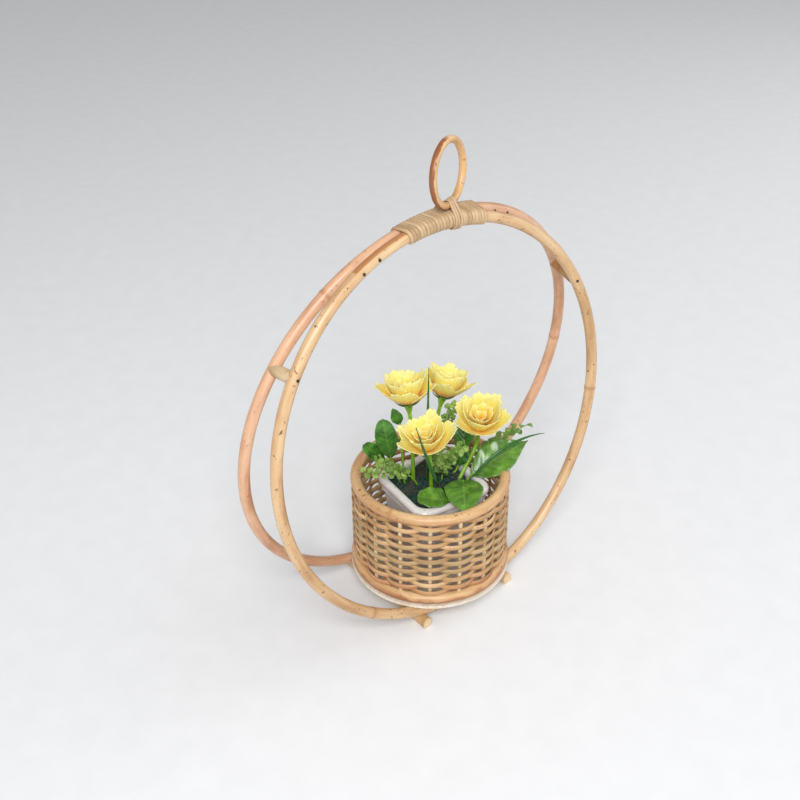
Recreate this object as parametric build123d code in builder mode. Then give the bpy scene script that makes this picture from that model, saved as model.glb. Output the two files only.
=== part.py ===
from build123d import *
import os
from math import atan2, cos, degrees, hypot, pi, radians, sin, sqrt

os.makedirs("parts", exist_ok=True)

# A hanging flower basket of rattan cane. Two cane hoops stand side by side, bound together at the top
# and spread apart at the foot, where they rest on two cross bars and carry a round woven basket.
# A glazed pot with an artificial flower arrangement lifts straight up out of the basket.
# X runs along the hoops, Y from front to rear, Z up. The origin is on the table, under the middle.

# Canes and sticks
cane_diameter = 9.5
ring_cane_diameter = 6.0
bar_diameter = 10.0
spacer_diameter = 10.0
stake_diameter = 3.6

# Fits
joint_clearance = 0.1
running_clearance = 0.3

# The two hoops, measured on the middle of the cane
hoop_height = 342.4
front_hoop_width = 332.6
rear_hoop_width = 347.4
front_hoop_side_shift = -6.4
front_hoop_foot_y = -43.1
rear_hoop_foot_y = 50.8
hoop_top_y = -2.0
hoop_top_gap = 0.6
front_hoop_turn = -0.95
rear_hoop_turn = 1.14

# Scarf joints, where the two ends of each hoop's cane overlap
scarf_length = 54.0
scarf_gap = 0.25
front_scarf_angle = -24.0
rear_scarf_angle = 23.0
front_scarf_slant_side = -1
rear_scarf_slant_side = 1

# Cross bars under the hoops
left_bar_x = -52.0
right_bar_x = 40.0
left_bar_front_y = -52.0
right_bar_front_y = -55.0
left_bar_length = 112.0
right_bar_length = 114.0
bar_foot_flat = 0.5
bar_seat_depth = 0.2
bar_end_chamfer = 0.5

# Spacer pegs between the hoops, by their angle from the top
left_spacer_angle = -58.0
right_spacer_angle = 62.0

# Nails
nail_diameter = 1.4
nail_head_diameter = 2.6
nail_head_height = 0.6
nail_bite = 5.0
scarf_nail_share = 0.3
front_board_nail_inset = 7.0
rear_board_nail_inset = 11.0
board_nail_bite = 7.0
tack_length = 6.0
tack_count = 4
tack_phase = 12.0
tack_inset = 0.4

# Binding of the two canes at the top
binding_strand_diameter = 2.0
binding_start_angle = -11.0
binding_end_angle = 16.0
binding_turns = 24

# Hanging ring and its lashing
ring_diameter = 49.2
ring_turn = 22.1
ring_lean = 3.4
ring_x = 8.8
lashing_strand_diameter = 1.6
lashing_turns = 3
lashing_pitch = 2.6

# Basket
basket_x = -5.35
board_diameter = 140.9
board_thickness = 2.5
board_margin = 0.2
basket_taper = 2.4
basket_height = 87.93
foot_ring_diameter = board_diameter - cane_diameter - board_margin * 2
rim_ring_diameter = foot_ring_diameter - basket_taper
stake_count = 16
stake_phase = -130.5
stake_let_in = 3.0
weaver_thickness = 2.4
weave_rows = 17
row_groove_depth = 0.7
wall_slot_width = 11.0
wall_slot_height = 2.8

# Pot
pot_forward = -4.0
pot_turn = -7.0
pot_lip_width = 76.0
pot_lip_diameter = 7.0
pot_lip_roll = 3.4
pot_lip_inner_roll = 3.0
pot_height = 84.33
pot_shoulder_width = 72.0
pot_shoulder_height = 5.0
pot_base_width = 56.0
pot_corner_radius = 13.0
pot_wall = 4.0
pot_neck_wall_share = 1.5
pot_lift = 100.0

# Filling of the pot
foam_recess = 11.53
moss_height = 8.0
foam_round = 1.0
moss_round = 2.5
stem_depth = 24.0
stalk_depth = 6.0

# Blooms
bloom_diameter = 50.0
bloom_height = 24.0
bloom_petal_thickness = 2.2
bloom_heart_diameter = 26.0
bloom_petal_count = 5
bloom_notch_width = 5.0
bloom_notch_depth = 7.0
petal_belly_share = 0.72
petal_belly_height_share = 0.32
heart_height_share = 0.72
heart_round = 4.0
calyx_diameter = 9.0
calyx_height = 9.0
stem_diameter = 3.4

# Leaves
leaf_width = 20.0
leaf_thickness = 0.8
leaf_stalk_diameter = 1.8
stalk_run_in_share = 2.0
grass_thickness = 0.7
grass_width = 3.2
sprig_stalk_diameter = 1.4
sprig_leaflet_diameter = 7.0
sprig_leaflet_thickness = 0.8
sprig_pairs = 5
sprig_spread_share = 0.5

# The arrangement
arrangement_height = 125.0

# Places in the arrangement, as shares of its height from the middle of the moss
# Roots, as shares of the moss's width; directions need no unit

# Blooms: middle of the rim, the way it faces, root, slant of the stem there, turn of the first notch
bloom_shares = {
    "front_bloom": ((-0.193, -0.128, 0.603), (-0.22, -0.04, 1), (-0.147, -0.127), (-0.05, 0, 1), 0),
    "left_bloom": ((-0.084, 0.196, 0.792), (-0.01, 0.16, 1), (-0.198, 0.221), (0, 0, 1), 18),
    "rear_bloom": ((0.374, 0.272, 0.626), (0.31, 0, 1), (0.244, 0.34), (0.1, 0, 1), 30),
    "right_bloom": ((0.333, -0.112, 0.515), (-0.14, -0.25, 1), (0.371, -0.17), (0.6, 0.05, 0.8), 50),
}

# Leaves: root, base and tip of the blade, width by the leaf width, bow by its length, facing
leaf_shares = {
    "left_leaf": ((-0.368, 0.323), (-0.213, 0.196, 0.199), (-0.277, 0.196, 0.543), 0.9, 0.046, (-0.6, -0.7, 0.3)),
    "outer_left_leaf": ((-0.368, 0.45), (-0.227, 0.256, 0.154), (-0.403, 0.256, 0.359), 0.7, 0.059, (-0.5, -0.6, 0.8)),
    "heart_leaf": ((0.261, -0.246), (0.099, -0.16, 0.047), (-0.129, -0.414, 0.047), 1.6, 0.117, (0, 0, 1)),
    "flat_leaf": ((-0.045, -0.391), (-0.061, -0.208, 0.036), (-0.205, -0.072, 0.047), 0.8, 0.024, (-0.2, -0.2, 1)),
    "right_leaf": ((0.422, -0.272), (0.219, -0.144, 0.039), (0.645, -0.24, 0.195), 1.2, 0.086, (-0.3, -0.5, 1)),
    "middle_leaf": ((0.363, 0.102), (0.283, 0.06, 0.107), (0.408, 0.072, 0.306), 0.95, 0.068, (-0.6, -0.5, 0.6)),
    "shaded_leaf": ((0.346, -0.017), (0.211, -0.016, 0.047), (0.263, -0.024, 0.199), 0.5, 0.05, (-0.6, -0.7, 0.3)),
    "small_leaf": ((-0.351, 0.229), (-0.197, 0.116, 0.511), (-0.253, 0.12, 0.655), 0.5, 0.078, (-0.5, -0.7, 0.4)),
}

# Grass: root, base and tip of the blade, bow by its length, facing
grass_shares = {
    "tall_grass_blade": ((-0.037, 0.102), (-0.02, 0.048, 0.047), (-0.085, -0.048, 0.979), 0.032, (0.6, 0.7, -0.3)),
    "front_grass_blade": ((-0.062, -0.255), (-0.053, -0.116, 0.067), (-0.474, -0.384, 0.859), 0.034, (-0.6, -0.8, 0)),
    "right_grass_blade": ((0.346, -0.357), (0.175, -0.18, 0.039), (0.779, -0.288, 0.219), 0.2, (-0.2, -0.3, 1)),
}

# Sprigs: root, first leaflets, tip, facing
sprig_shares = {
    "left_sprig": ((-0.232, 0.051), (-0.181, 0.048, 0.119), (-0.437, 0.088, 0.331), (-0.5, -0.6, 1)),
    "middle_sprig": ((0.099, -0.068), (0.051, -0.04, 0.063), (0.031, -0.044, 0.311), (-0.6, -0.7, 0.4)),
    "rear_sprig": ((0.142, 0.136), (0.155, 0.112, 0.215), (0.282, 0.144, 0.455), (-0.6, -0.7, 0.4)),
    "right_sprig": ((0.439, 0), (0.315, 0, 0.075), (0.769, -0.12, 0.207), (-0.1, -0.3, 1)),
}


cane_radius = cane_diameter / 2
bar_radius = bar_diameter / 2
spacer_radius = spacer_diameter / 2
overrun = cane_diameter


def finish(builder, name):
    """Label a finished piece and write it."""
    builder.part.label = name
    export_step(builder.part, "parts/" + name + ".step")


class Hoop:
    """An oval hoop of four tangent arcs, standing on its foot and leaning at its top."""

    def __init__(self, width, side_shift, top_y, foot_y, turn, foot_z):
        self.half_width = width / 2
        self.half_height = hypot(hoop_height, top_y - foot_y) / 2
        step = (self.half_width - self.half_height) / (sqrt(2) - 1)
        self.side_radius = self.half_width - step / sqrt(2)
        self.end_radius = self.half_height + step / sqrt(2)
        along = Vector(cos(radians(turn)), sin(radians(turn)), 0)
        lean = Vector(0, top_y - foot_y, hoop_height).normalized()
        centre = Vector(side_shift, (top_y + foot_y) / 2, foot_z + hoop_height / 2)
        self.plane = Plane(origin=centre, x_dir=along, z_dir=along.cross(lean))

    def arc_centre(self, angle):
        """The centre of the arc that the cane follows at an angle from the top."""
        if abs(sin(radians(angle))) > sin(pi / 4):
            side = 1 if sin(radians(angle)) > 0 else -1
            return Vector(side * (self.half_width - self.side_radius), 0), self.side_radius
        end = 1 if cos(radians(angle)) > 0 else -1
        return Vector(0, end * (self.half_height - self.end_radius)), self.end_radius

    def point(self, angle):
        """A point on the middle of the cane, by the angle of its outward direction from the top."""
        centre, radius = self.arc_centre(angle)
        flat = centre + Vector(sin(radians(angle)), cos(radians(angle))) * radius
        return self.plane.from_local_coords(flat)

    def outward(self, angle):
        flat = Vector(sin(radians(angle)), cos(radians(angle)))
        return (self.plane.x_dir * flat.X + self.plane.y_dir * flat.Y).normalized()

    def along(self, angle):
        flat = Vector(cos(radians(angle)), -sin(radians(angle)))
        return (self.plane.x_dir * flat.X + self.plane.y_dir * flat.Y).normalized()

    def angle_at(self, x):
        """The angle of the cane's lower half at a place along X."""
        across = (x - self.plane.origin.X) / self.plane.x_dir.X
        return 180 - degrees(atan2(across, sqrt(self.end_radius**2 - across**2)))

    def solid(self, radius):
        """The cane as a tube of four swept arcs."""
        with BuildPart() as tube:
            with BuildLine() as line:
                for angle in (45, 135, 225, 315):
                    ThreePointArc(self.point(angle), self.point(angle + 45), self.point(angle + 90))
            path = line.wire()
            with BuildSketch(Plane(origin=path @ 0, z_dir=path % 0)):
                Circle(radius)
            sweep(path=path)
        return tube.part


def foot_height(width, side_shift, bar_x, top_y, foot_y):
    """The height of a hoop's lowest middle when it just rests on a bar."""
    trial = Hoop(width, side_shift, top_y, foot_y, 0, 0)
    reach = trial.end_radius + cane_radius + bar_radius
    across = bar_x - side_shift
    return bar_z + sqrt(reach**2 - across**2) - trial.end_radius


# Heights follow from the bars up
bar_z = bar_radius - bar_foot_flat
front_top_y = hoop_top_y - cane_radius - hoop_top_gap / 2
rear_top_y = hoop_top_y + cane_radius + hoop_top_gap / 2
front_shape = (front_hoop_width, front_hoop_side_shift, front_top_y, front_hoop_foot_y)
rear_shape = (rear_hoop_width, 0, rear_top_y, rear_hoop_foot_y)
hoop_foot_z = min(
    foot_height(width, shift, bar_x, top_y, foot_y)
    for width, shift, top_y, foot_y in (front_shape, rear_shape)
    for bar_x in (left_bar_x, right_bar_x)
) - bar_seat_depth
front = Hoop(*front_shape, front_hoop_turn, hoop_foot_z)
rear = Hoop(*rear_shape, rear_hoop_turn, hoop_foot_z)


def scarf_cutter(hoop, middle_angle, slant_side):
    """A thin sheet slanted between the front and the rear of the cane, which parts the two ends of a scarf joint."""
    slant = hoop.along(middle_angle) * scarf_length + hoop.plane.z_dir * cane_diameter * slant_side
    with BuildPart() as cutter:
        with BuildSketch(Plane(origin=hoop.point(middle_angle), x_dir=slant, z_dir=hoop.outward(middle_angle))):
            Rectangle(slant.length + overrun * 2, scarf_gap)
        extrude(amount=overrun, both=True)
    return cutter.part


def nail(seat, direction, length):
    """A nail with a flat head, driven along a direction from the seat of its head."""
    with BuildPart(mode=Mode.PRIVATE) as made:
        with BuildSketch(Plane(origin=seat, z_dir=direction)):
            Circle(nail_diameter / 2)
        extrude(amount=length)
        with BuildSketch(Plane(origin=seat, z_dir=direction)):
            Circle(nail_head_diameter / 2)
        extrude(amount=-nail_head_height)
    return made.part


def nail_hole(seat, direction, length):
    """The hole that a nail leaves, a clearance wider and longer, with a recess for its head."""
    with BuildPart(mode=Mode.PRIVATE) as made:
        with BuildSketch(Plane(origin=seat, z_dir=direction)):
            Circle(nail_diameter / 2 + joint_clearance)
        extrude(amount=length + joint_clearance)
        with BuildSketch(Plane(origin=seat + direction * joint_clearance, z_dir=direction)):
            Circle(nail_head_diameter / 2 + joint_clearance)
        extrude(amount=-nail_head_height - nail_head_diameter)
    return made.part


def nail_group(nails, length, name):
    """All nails of one kind, as separate solids in one node."""
    with BuildPart() as group:
        for place, direction in nails:
            add(nail(place, direction, length))
    finish(group, name)


# Places of the nails, each as its head's seat and the direction it is driven
nail_seat = cane_radius - nail_head_height / 2
nail_length = cane_diameter + nail_bite
scarf_nail_length = cane_diameter - nail_head_diameter
spacer_nails = {"front": [], "rear": []}
for angle in (left_spacer_angle, right_spacer_angle):
    across = (rear.point(angle) - front.point(angle)).normalized()
    spacer_nails["front"].append((front.point(angle) - across * nail_seat, across))
    spacer_nails["rear"].append((rear.point(angle) + across * nail_seat, across * -1))
bar_nails = {"front": [], "rear": []}
scarf_nails = {"front": [], "rear": []}
for name, hoop, middle in (("front", front, front_scarf_angle), ("rear", rear, rear_scarf_angle)):
    for bar_x in (left_bar_x, right_bar_x):
        angle = hoop.angle_at(bar_x)
        down = hoop.outward(angle)
        bar_nails[name].append((hoop.point(angle) - down * nail_seat, down))
    half_angle = degrees(scarf_length / hoop.end_radius) / 2
    for share in (-scarf_nail_share, scarf_nail_share):
        place = hoop.point(middle + share * half_angle) + hoop.plane.z_dir * nail_seat
        scarf_nails[name].append((place, hoop.plane.z_dir * -1))

# The base board lies on the hoops where they pass under its edge
board_radius = board_diameter / 2


def board_rests(hoop):
    """The angles at which a hoop's cane passes under the board's edge."""
    angles = []
    for side in (-1, 1):
        angle = 180
        for _ in range(4):
            y = hoop.point(angle).Y
            angle = hoop.angle_at(basket_x + side * sqrt(board_radius**2 - y**2))
        angles.append(angle)
    return angles


def board_seat_height(hoop, angle):
    """The top of a sloping cane at an angle."""
    return hoop.point(angle).Z + cane_radius / abs(cos(radians(angle)))


board_bottom = running_clearance + max(
    board_seat_height(hoop, angle) for hoop in (front, rear) for angle in board_rests(hoop)
)
board_top = board_bottom + board_thickness
foot_ring_z = board_top + joint_clearance + cane_radius
rim_ring_z = board_top + basket_height
board_nails = []
for hoop, inset in ((front, front_board_nail_inset), (rear, rear_board_nail_inset)):
    for angle in board_rests(hoop):
        inward = inset if hoop.point(angle).X < basket_x else -inset
        seat = hoop.point(hoop.angle_at(hoop.point(angle).X + inward))
        board_nails.append((Vector(seat.X, seat.Y, board_top - nail_head_height), Vector(0, 0, -1)))
board_nail_length = board_thickness + board_nail_bite

# Front and rear hoops
for name, hoop, middle, slant_side in (
    ("front", front, front_scarf_angle, front_scarf_slant_side),
    ("rear", rear, rear_scarf_angle, rear_scarf_slant_side),
):
    with BuildPart() as hoop_part:
        add(hoop.solid(cane_radius))
        add(scarf_cutter(hoop, middle, slant_side), mode=Mode.SUBTRACT)
        for place, direction in spacer_nails[name] + bar_nails[name]:
            add(nail_hole(place, direction, nail_length), mode=Mode.SUBTRACT)
        for place, direction in scarf_nails[name]:
            add(nail_hole(place, direction, scarf_nail_length), mode=Mode.SUBTRACT)
        for place, direction in board_nails:
            add(nail_hole(place, direction, board_nail_length), mode=Mode.SUBTRACT)
    finish(hoop_part, name + "_hoop")

nail_group(spacer_nails["front"] + spacer_nails["rear"], nail_length, "spacer_nails")
nail_group(bar_nails["front"] + bar_nails["rear"], nail_length, "cross_bar_nails")
nail_group(scarf_nails["front"] + scarf_nails["rear"], scarf_nail_length, "scarf_nails")

# Spacer pegs, coped to the round of each hoop
front_coping = front.solid(cane_radius + joint_clearance)
rear_coping = rear.solid(cane_radius + joint_clearance)
for name, angle in (("left", left_spacer_angle), ("right", right_spacer_angle)):
    start = front.point(angle)
    run = rear.point(angle) - start
    with BuildPart() as spacer:
        with BuildSketch(Plane(origin=start, z_dir=run)):
            Circle(spacer_radius)
        extrude(amount=run.length)
        add(front_coping, mode=Mode.SUBTRACT)
        add(rear_coping, mode=Mode.SUBTRACT)
        for place, direction in spacer_nails["front"] + spacer_nails["rear"]:
            add(nail_hole(place, direction, nail_length), mode=Mode.SUBTRACT)
    spacer.part = spacer.part.solids().sort_by(SortBy.VOLUME)[-1]
    finish(spacer, name + "_spacer")

# Cross bars, with a seat for each hoop and a flat underneath
for name, bar_x, bar_front_y, bar_length in (
    ("left", left_bar_x, left_bar_front_y, left_bar_length),
    ("right", right_bar_x, right_bar_front_y, right_bar_length),
):
    with BuildPart() as bar:
        with BuildSketch(Plane(origin=(bar_x, bar_front_y, bar_z), x_dir=(-1, 0, 0), z_dir=(0, 1, 0))):
            Circle(bar_radius)
        extrude(amount=bar_length)
        chamfer(bar.edges().filter_by(GeomType.CIRCLE), length=bar_end_chamfer)
        add(front_coping, mode=Mode.SUBTRACT)
        add(rear_coping, mode=Mode.SUBTRACT)
        split(bisect_by=Plane.XY, keep=Keep.TOP)
        for place, direction in bar_nails["front"] + bar_nails["rear"]:
            add(nail_hole(place, direction, nail_length), mode=Mode.SUBTRACT)
    finish(bar, name + "_cross_bar")


class Section:
    """A section square to the front cane, with the bound canes as circles in it."""

    def __init__(self, angle):
        self.origin = front.point(angle)
        self.along = front.along(angle)
        rear_angle = angle
        for _ in range(4):
            miss = (rear.point(rear_angle) - self.origin).dot(self.along)
            rear_angle -= degrees(miss / rear.end_radius)
        self.rear_point = rear.point(rear_angle)
        self.across = (self.rear_point - self.origin).normalized()
        self.up = self.across.cross(self.along).normalized()
        if self.up.dot(front.outward(angle)) < 0:
            self.up = self.up * -1

    def flat(self, place):
        return Vector((place - self.origin).dot(self.across), (place - self.origin).dot(self.up))

    def solid_point(self, flat):
        return self.origin + self.across * flat.X + self.up * flat.Y

    def solid_direction(self, flat, slope):
        return (self.across * flat.X + self.up * flat.Y + self.along * slope).normalized()


def belt(circles):
    """The keys of a belt round circles listed anticlockwise: point, direction and length so far."""
    sides = []
    for index, (centre, radius) in enumerate(circles):
        next_centre, next_radius = circles[(index + 1) % len(circles)]
        run = next_centre - centre
        bearing = degrees(atan2(run.Y, run.X))
        rise = degrees(atan2(radius - next_radius, sqrt(run.length**2 - (radius - next_radius) ** 2)))
        sides.append((bearing - 90 + rise, sqrt(run.length**2 - (radius - next_radius) ** 2)))
    keys = []
    length = 0
    for index, (centre, radius) in enumerate(circles):
        arrive = sides[index - 1][0]
        leave = sides[index][0]
        while leave < arrive:
            leave += 360
        for angle in (arrive, leave):
            out = Vector(cos(radians(angle)), sin(radians(angle)))
            keys.append((centre + out * radius, Vector(-out.Y, out.X), length))
            length += radians(leave - arrive) * radius if angle == arrive else sides[index][1]
    return keys, length


def biarc(start, start_direction, end, end_direction):
    """Two tangent arcs between two points with given directions, with equal tangent lengths."""
    run = end - start
    both = start_direction + end_direction
    a = 2 * (1 - start_direction.dot(end_direction))
    b = 2 * run.dot(both)
    c = -run.dot(run)
    reach = -c / b if abs(a) < 1e-9 else (-b + sqrt(b * b - 4 * a * c)) / (2 * a)
    knee = (start + end + (start_direction - end_direction) * reach) / 2
    arcs = []
    for first, last, direction in ((start, knee, start_direction), (knee, end, end_direction * -1)):
        chord = last - first if direction is start_direction else first - last
        foot = first if direction is start_direction else last
        turn = direction.cross(chord).length / chord.length
        if turn < 1e-6:
            arcs.append(Line(first, last))
        elif direction is start_direction:
            arcs.append(TangentArc(first, last, tangent=direction))
        else:
            arcs.append(TangentArc(foot, first, tangent=direction))
    return arcs


def winding(start_angle, end_angle, turns, circles_at):
    """The path of a strand wound round the bound canes, as biarcs, with straight ends."""
    keys = []
    for turn in range(turns):
        count = len(circles_at(Section(start_angle))) * 2
        for index in range(count):
            section = Section(start_angle + (end_angle - start_angle) * turn / turns)
            flat_keys, perimeter = belt(circles_at(section))
            share = (turn + flat_keys[index][2] / perimeter) / turns
            section = Section(start_angle + (end_angle - start_angle) * share)
            flat_keys, perimeter = belt(circles_at(section))
            slope = radians(end_angle - start_angle) * front.end_radius / turns / perimeter
            place, direction, _ = flat_keys[index]
            keys.append((section.solid_point(place), section.solid_direction(direction, slope)))
    return keys


def strand(keys, diameter, name):
    """A strand swept along its keys, with its least gap to itself measured on points."""
    with BuildPart() as made:
        with BuildLine() as line:
            Line(keys[0][0] - keys[0][1] * diameter, keys[0][0])
            for (start, start_direction), (end, end_direction) in zip(keys, keys[1:]):
                biarc(start, start_direction, end, end_direction)
            Line(keys[-1][0], keys[-1][0] + keys[-1][1] * diameter)
        path = line.wire()
        with BuildSketch(Plane(origin=path @ 0, z_dir=path % 0)):
            Circle(diameter / 2)
        sweep(path=path)
    steps = round(path.length / diameter)
    points = [path @ (step / steps) for step in range(steps + 1)]
    apart = round(pi * cane_diameter / diameter)
    gap = min(
        (points[i] - points[j]).length
        for i in range(len(points))
        for j in range(i + apart, min(len(points), i + apart * 4))
    ) - diameter
    print(name, "least gap", round(gap, 2), "mm, volume", round(made.part.volume, 1),
          "of", round(pi * (diameter / 2) ** 2 * path.length, 1))
    finish(made, name)


# Binding of the two canes
binding_reach = cane_radius + joint_clearance + binding_strand_diameter / 2


def bound_canes(section):
    return [(section.flat(section.rear_point), binding_reach), (Vector(0, 0), binding_reach)]


strand(winding(binding_start_angle, binding_end_angle, binding_turns, bound_canes),
       binding_strand_diameter, "hoop_binding")

# Hanging ring, standing on the binding
ring_radius = ring_diameter / 2
ring_cane_radius = ring_cane_diameter / 2
ring_top_angle = degrees(atan2(ring_x - front.plane.origin.X, front.end_radius))
ring_section = Section(ring_top_angle)
ring_foot = (
    (ring_section.origin + ring_section.rear_point) / 2
    + ring_section.up
    * (cane_radius + binding_strand_diameter + ring_cane_radius + running_clearance)
)
ring_along = Vector(cos(radians(ring_turn)), sin(radians(ring_turn)), 0)
ring_across = Vector(-sin(radians(ring_turn)), cos(radians(ring_turn)), 0)
ring_up = Vector(0, 0, 1) * cos(radians(ring_lean)) + ring_across * sin(radians(ring_lean))
ring_centre = ring_foot + ring_up * ring_radius
with BuildPart() as hanging_ring:
    with BuildLine() as line:
        for side in (ring_along, ring_along * -1):
            top = ring_centre + ring_up * ring_radius
            ThreePointArc(ring_foot, ring_centre + side * ring_radius, top)
    path = line.wire()
    with BuildSketch(Plane(origin=path @ 0, z_dir=path % 0)):
        Circle(ring_cane_radius)
    sweep(path=path)
finish(hanging_ring, "hanging_ring")

# Lashing of the ring's foot, over the binding
lashing_radius = lashing_strand_diameter / 2
lashing_reach = cane_radius + binding_strand_diameter + lashing_radius + running_clearance
ring_reach = ring_cane_radius / cos(radians(ring_turn)) + lashing_radius + running_clearance


def lashed_ring(section):
    offset = (section.origin - ring_foot).dot(section.along) / cos(radians(ring_turn))
    offset = max(-ring_cane_diameter, min(ring_cane_diameter, offset))
    rise = ring_radius - sqrt(ring_radius**2 - offset**2)
    foot = ring_foot + ring_along * offset + ring_up * rise
    return [
        (section.flat(foot), ring_reach),
        (Vector(0, 0), lashing_reach),
        (section.flat(section.rear_point), lashing_reach),
    ]


lashing_half_angle = degrees(lashing_turns * lashing_pitch / front.end_radius) / 2
strand(winding(ring_top_angle - lashing_half_angle, ring_top_angle + lashing_half_angle,
               lashing_turns, lashed_ring), lashing_strand_diameter, "ring_lashing")

# Base board, with nails down into the hoops and tacks up into the foot ring
tack_radius = foot_ring_diameter / 2 - tack_inset
tacks = []
for index in range(tack_count):
    angle = radians(tack_phase + index * 360 / tack_count)
    place = Vector(basket_x + tack_radius * cos(angle), tack_radius * sin(angle), board_bottom + nail_head_height)
    tacks.append((place, Vector(0, 0, 1)))
with BuildPart() as base_board:
    with BuildSketch(Plane(origin=(basket_x, 0, board_bottom))):
        Circle(board_radius)
    extrude(amount=board_thickness)
    for place, direction in board_nails:
        add(nail_hole(place, direction, board_nail_length), mode=Mode.SUBTRACT)
    for place, direction in tacks:
        add(nail_hole(place, direction, tack_length), mode=Mode.SUBTRACT)
finish(base_board, "base_board")
nail_group(board_nails, board_nail_length, "board_nails")
nail_group(tacks, tack_length, "foot_ring_tacks")

# Stakes, foot ring and rim ring
stake_radius = stake_diameter / 2
weave_radius = (foot_ring_diameter + rim_ring_diameter) / 4
stake_bottom = foot_ring_z + cane_radius - stake_let_in
stake_top = rim_ring_z - cane_radius + stake_let_in
with BuildPart() as basket_stakes:
    with BuildSketch(Plane(origin=(basket_x, 0, stake_bottom))):
        with PolarLocations(weave_radius, stake_count, start_angle=stake_phase):
            Circle(stake_radius)
    extrude(amount=stake_top - stake_bottom)
finish(basket_stakes, "basket_stakes")

for name, diameter, height, hole_bottom, hole_top, tack_holes in (
    ("foot_ring", foot_ring_diameter, foot_ring_z, stake_bottom - joint_clearance, stake_top, tacks),
    ("rim_ring", rim_ring_diameter, rim_ring_z, stake_bottom, stake_top + joint_clearance, []),
):
    with BuildPart() as ring:
        with BuildLine() as line:
            for side in (-1, 1):
                ThreePointArc(
                    (basket_x - diameter / 2, 0, height),
                    (basket_x, side * diameter / 2, height),
                    (basket_x + diameter / 2, 0, height),
                )
        path = line.wire()
        with BuildSketch(Plane(origin=path @ 0, z_dir=path % 0)):
            Circle(cane_radius)
        sweep(path=path)
        with BuildSketch(Plane(origin=(basket_x, 0, hole_bottom))):
            with PolarLocations(weave_radius, stake_count, start_angle=stake_phase):
                Circle(stake_radius + joint_clearance)
        extrude(amount=hole_top - hole_bottom, mode=Mode.SUBTRACT)
        for place, direction in tack_holes:
            add(nail_hole(place, direction, tack_length), mode=Mode.SUBTRACT)
    finish(ring, name)

# Woven wall, one shell with a groove between each two rows of weavers and gaps between the stakes
wall_inner = weave_radius - stake_radius - weaver_thickness
wall_outer = weave_radius + stake_radius + weaver_thickness
wall_bottom = foot_ring_z + cane_radius + joint_clearance
wall_top = rim_ring_z - cane_radius - joint_clearance
row_height = (wall_top - wall_bottom) / weave_rows
with BuildPart() as woven_wall:
    with BuildSketch(Plane.XZ):
        with BuildLine():
            Polyline(
                (basket_x + wall_outer - row_groove_depth, wall_bottom),
                (basket_x + wall_inner, wall_bottom),
                (basket_x + wall_inner, wall_top),
                (basket_x + wall_outer - row_groove_depth, wall_top),
            )
            for row in range(weave_rows):
                low = wall_bottom + row * row_height
                ThreePointArc(
                    (basket_x + wall_outer - row_groove_depth, low),
                    (basket_x + wall_outer, low + row_height / 2),
                    (basket_x + wall_outer - row_groove_depth, low + row_height),
                )
        make_face()
    revolve(axis=Axis((basket_x, 0, 0), (0, 0, 1)))
    with BuildSketch(Plane(origin=(basket_x, 0, wall_bottom))):
        with PolarLocations(weave_radius, stake_count, start_angle=stake_phase):
            Circle(stake_radius + joint_clearance)
    extrude(amount=wall_top - wall_bottom, mode=Mode.SUBTRACT)
    for row in range(1, weave_rows, 2):
        with Locations((basket_x, 0, wall_bottom + row * row_height + row_height / 2)):
            with PolarLocations(weave_radius, stake_count, start_angle=stake_phase + 180 / stake_count):
                Box(wall_outer - wall_inner + overrun, wall_slot_width, wall_slot_height, mode=Mode.SUBTRACT)
finish(woven_wall, "woven_wall")

# Pot, a square vessel with a rolled lip and a shoulder under it
pot_plane = Plane(
    origin=(basket_x, pot_forward, board_top + running_clearance),
    x_dir=(cos(radians(pot_turn)), sin(radians(pot_turn)), 0),
    z_dir=(0, 0, 1),
)
lip_top = pot_height
lip_bottom = lip_top - pot_lip_diameter
shoulder_bottom = lip_bottom - pot_shoulder_height
pot_neck_width = pot_shoulder_width - pot_wall
cavity_base_width = pot_base_width - pot_wall * 2
cavity_top_width = pot_neck_width - pot_wall * pot_neck_wall_share
corner_share = pot_corner_radius / pot_lip_width


def square_loft(bottom, bottom_width, top, top_width):
    """A block of rounded square section on the pot's plane, from one width to another."""
    with BuildPart(mode=Mode.PRIVATE) as block:
        for height, width in ((bottom, bottom_width), (top, top_width)):
            with BuildSketch(pot_plane.offset(height)):
                RectangleRounded(width, width, width * corner_share)
        loft()
    return block.part


pot_blocks = [
    square_loft(lip_bottom, pot_lip_width, lip_top, pot_lip_width),
    square_loft(shoulder_bottom, pot_shoulder_width, lip_bottom, pot_shoulder_width),
    square_loft(0, pot_base_width, shoulder_bottom, pot_neck_width),
]
pot_cavity = square_loft(pot_wall, cavity_base_width, lip_top, cavity_top_width)
with BuildPart() as pot:
    add(pot_blocks[0])
    fillet(pot.faces().filter_by(Axis.Z).edges(), radius=pot_lip_roll)
    add(pot_blocks[1:])
    add(pot_cavity, mode=Mode.SUBTRACT)
    fillet(pot.faces().sort_by(Axis.Z)[-1].inner_wires().edges(), radius=pot_lip_inner_roll)
finish(pot, "pot")

# Foam and moss in the pot
foam_bottom = pot_wall + running_clearance
foam_top = lip_top - foam_recess
moss_bottom = foam_top + running_clearance
moss_top = moss_bottom + moss_height
foam_bottom_width = cavity_base_width - running_clearance * 4
cavity_spread = (cavity_top_width - cavity_base_width) / (lip_top - pot_wall)
foam_top_width = foam_bottom_width + cavity_spread * (foam_top - foam_bottom)
moss_width = cavity_base_width + cavity_spread * (moss_bottom - pot_wall) - running_clearance * 4
moss_z = pot_plane.origin.Z + moss_top



def arranged(shares):
    """A place in the arrangement."""
    return Vector(basket_x, pot_forward, moss_z) + Vector(*shares) * arrangement_height


def root_place(shares):
    """A place on top of the moss."""
    return Vector(basket_x + shares[0] * moss_width, pot_forward + shares[1] * moss_width, moss_z)


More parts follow.
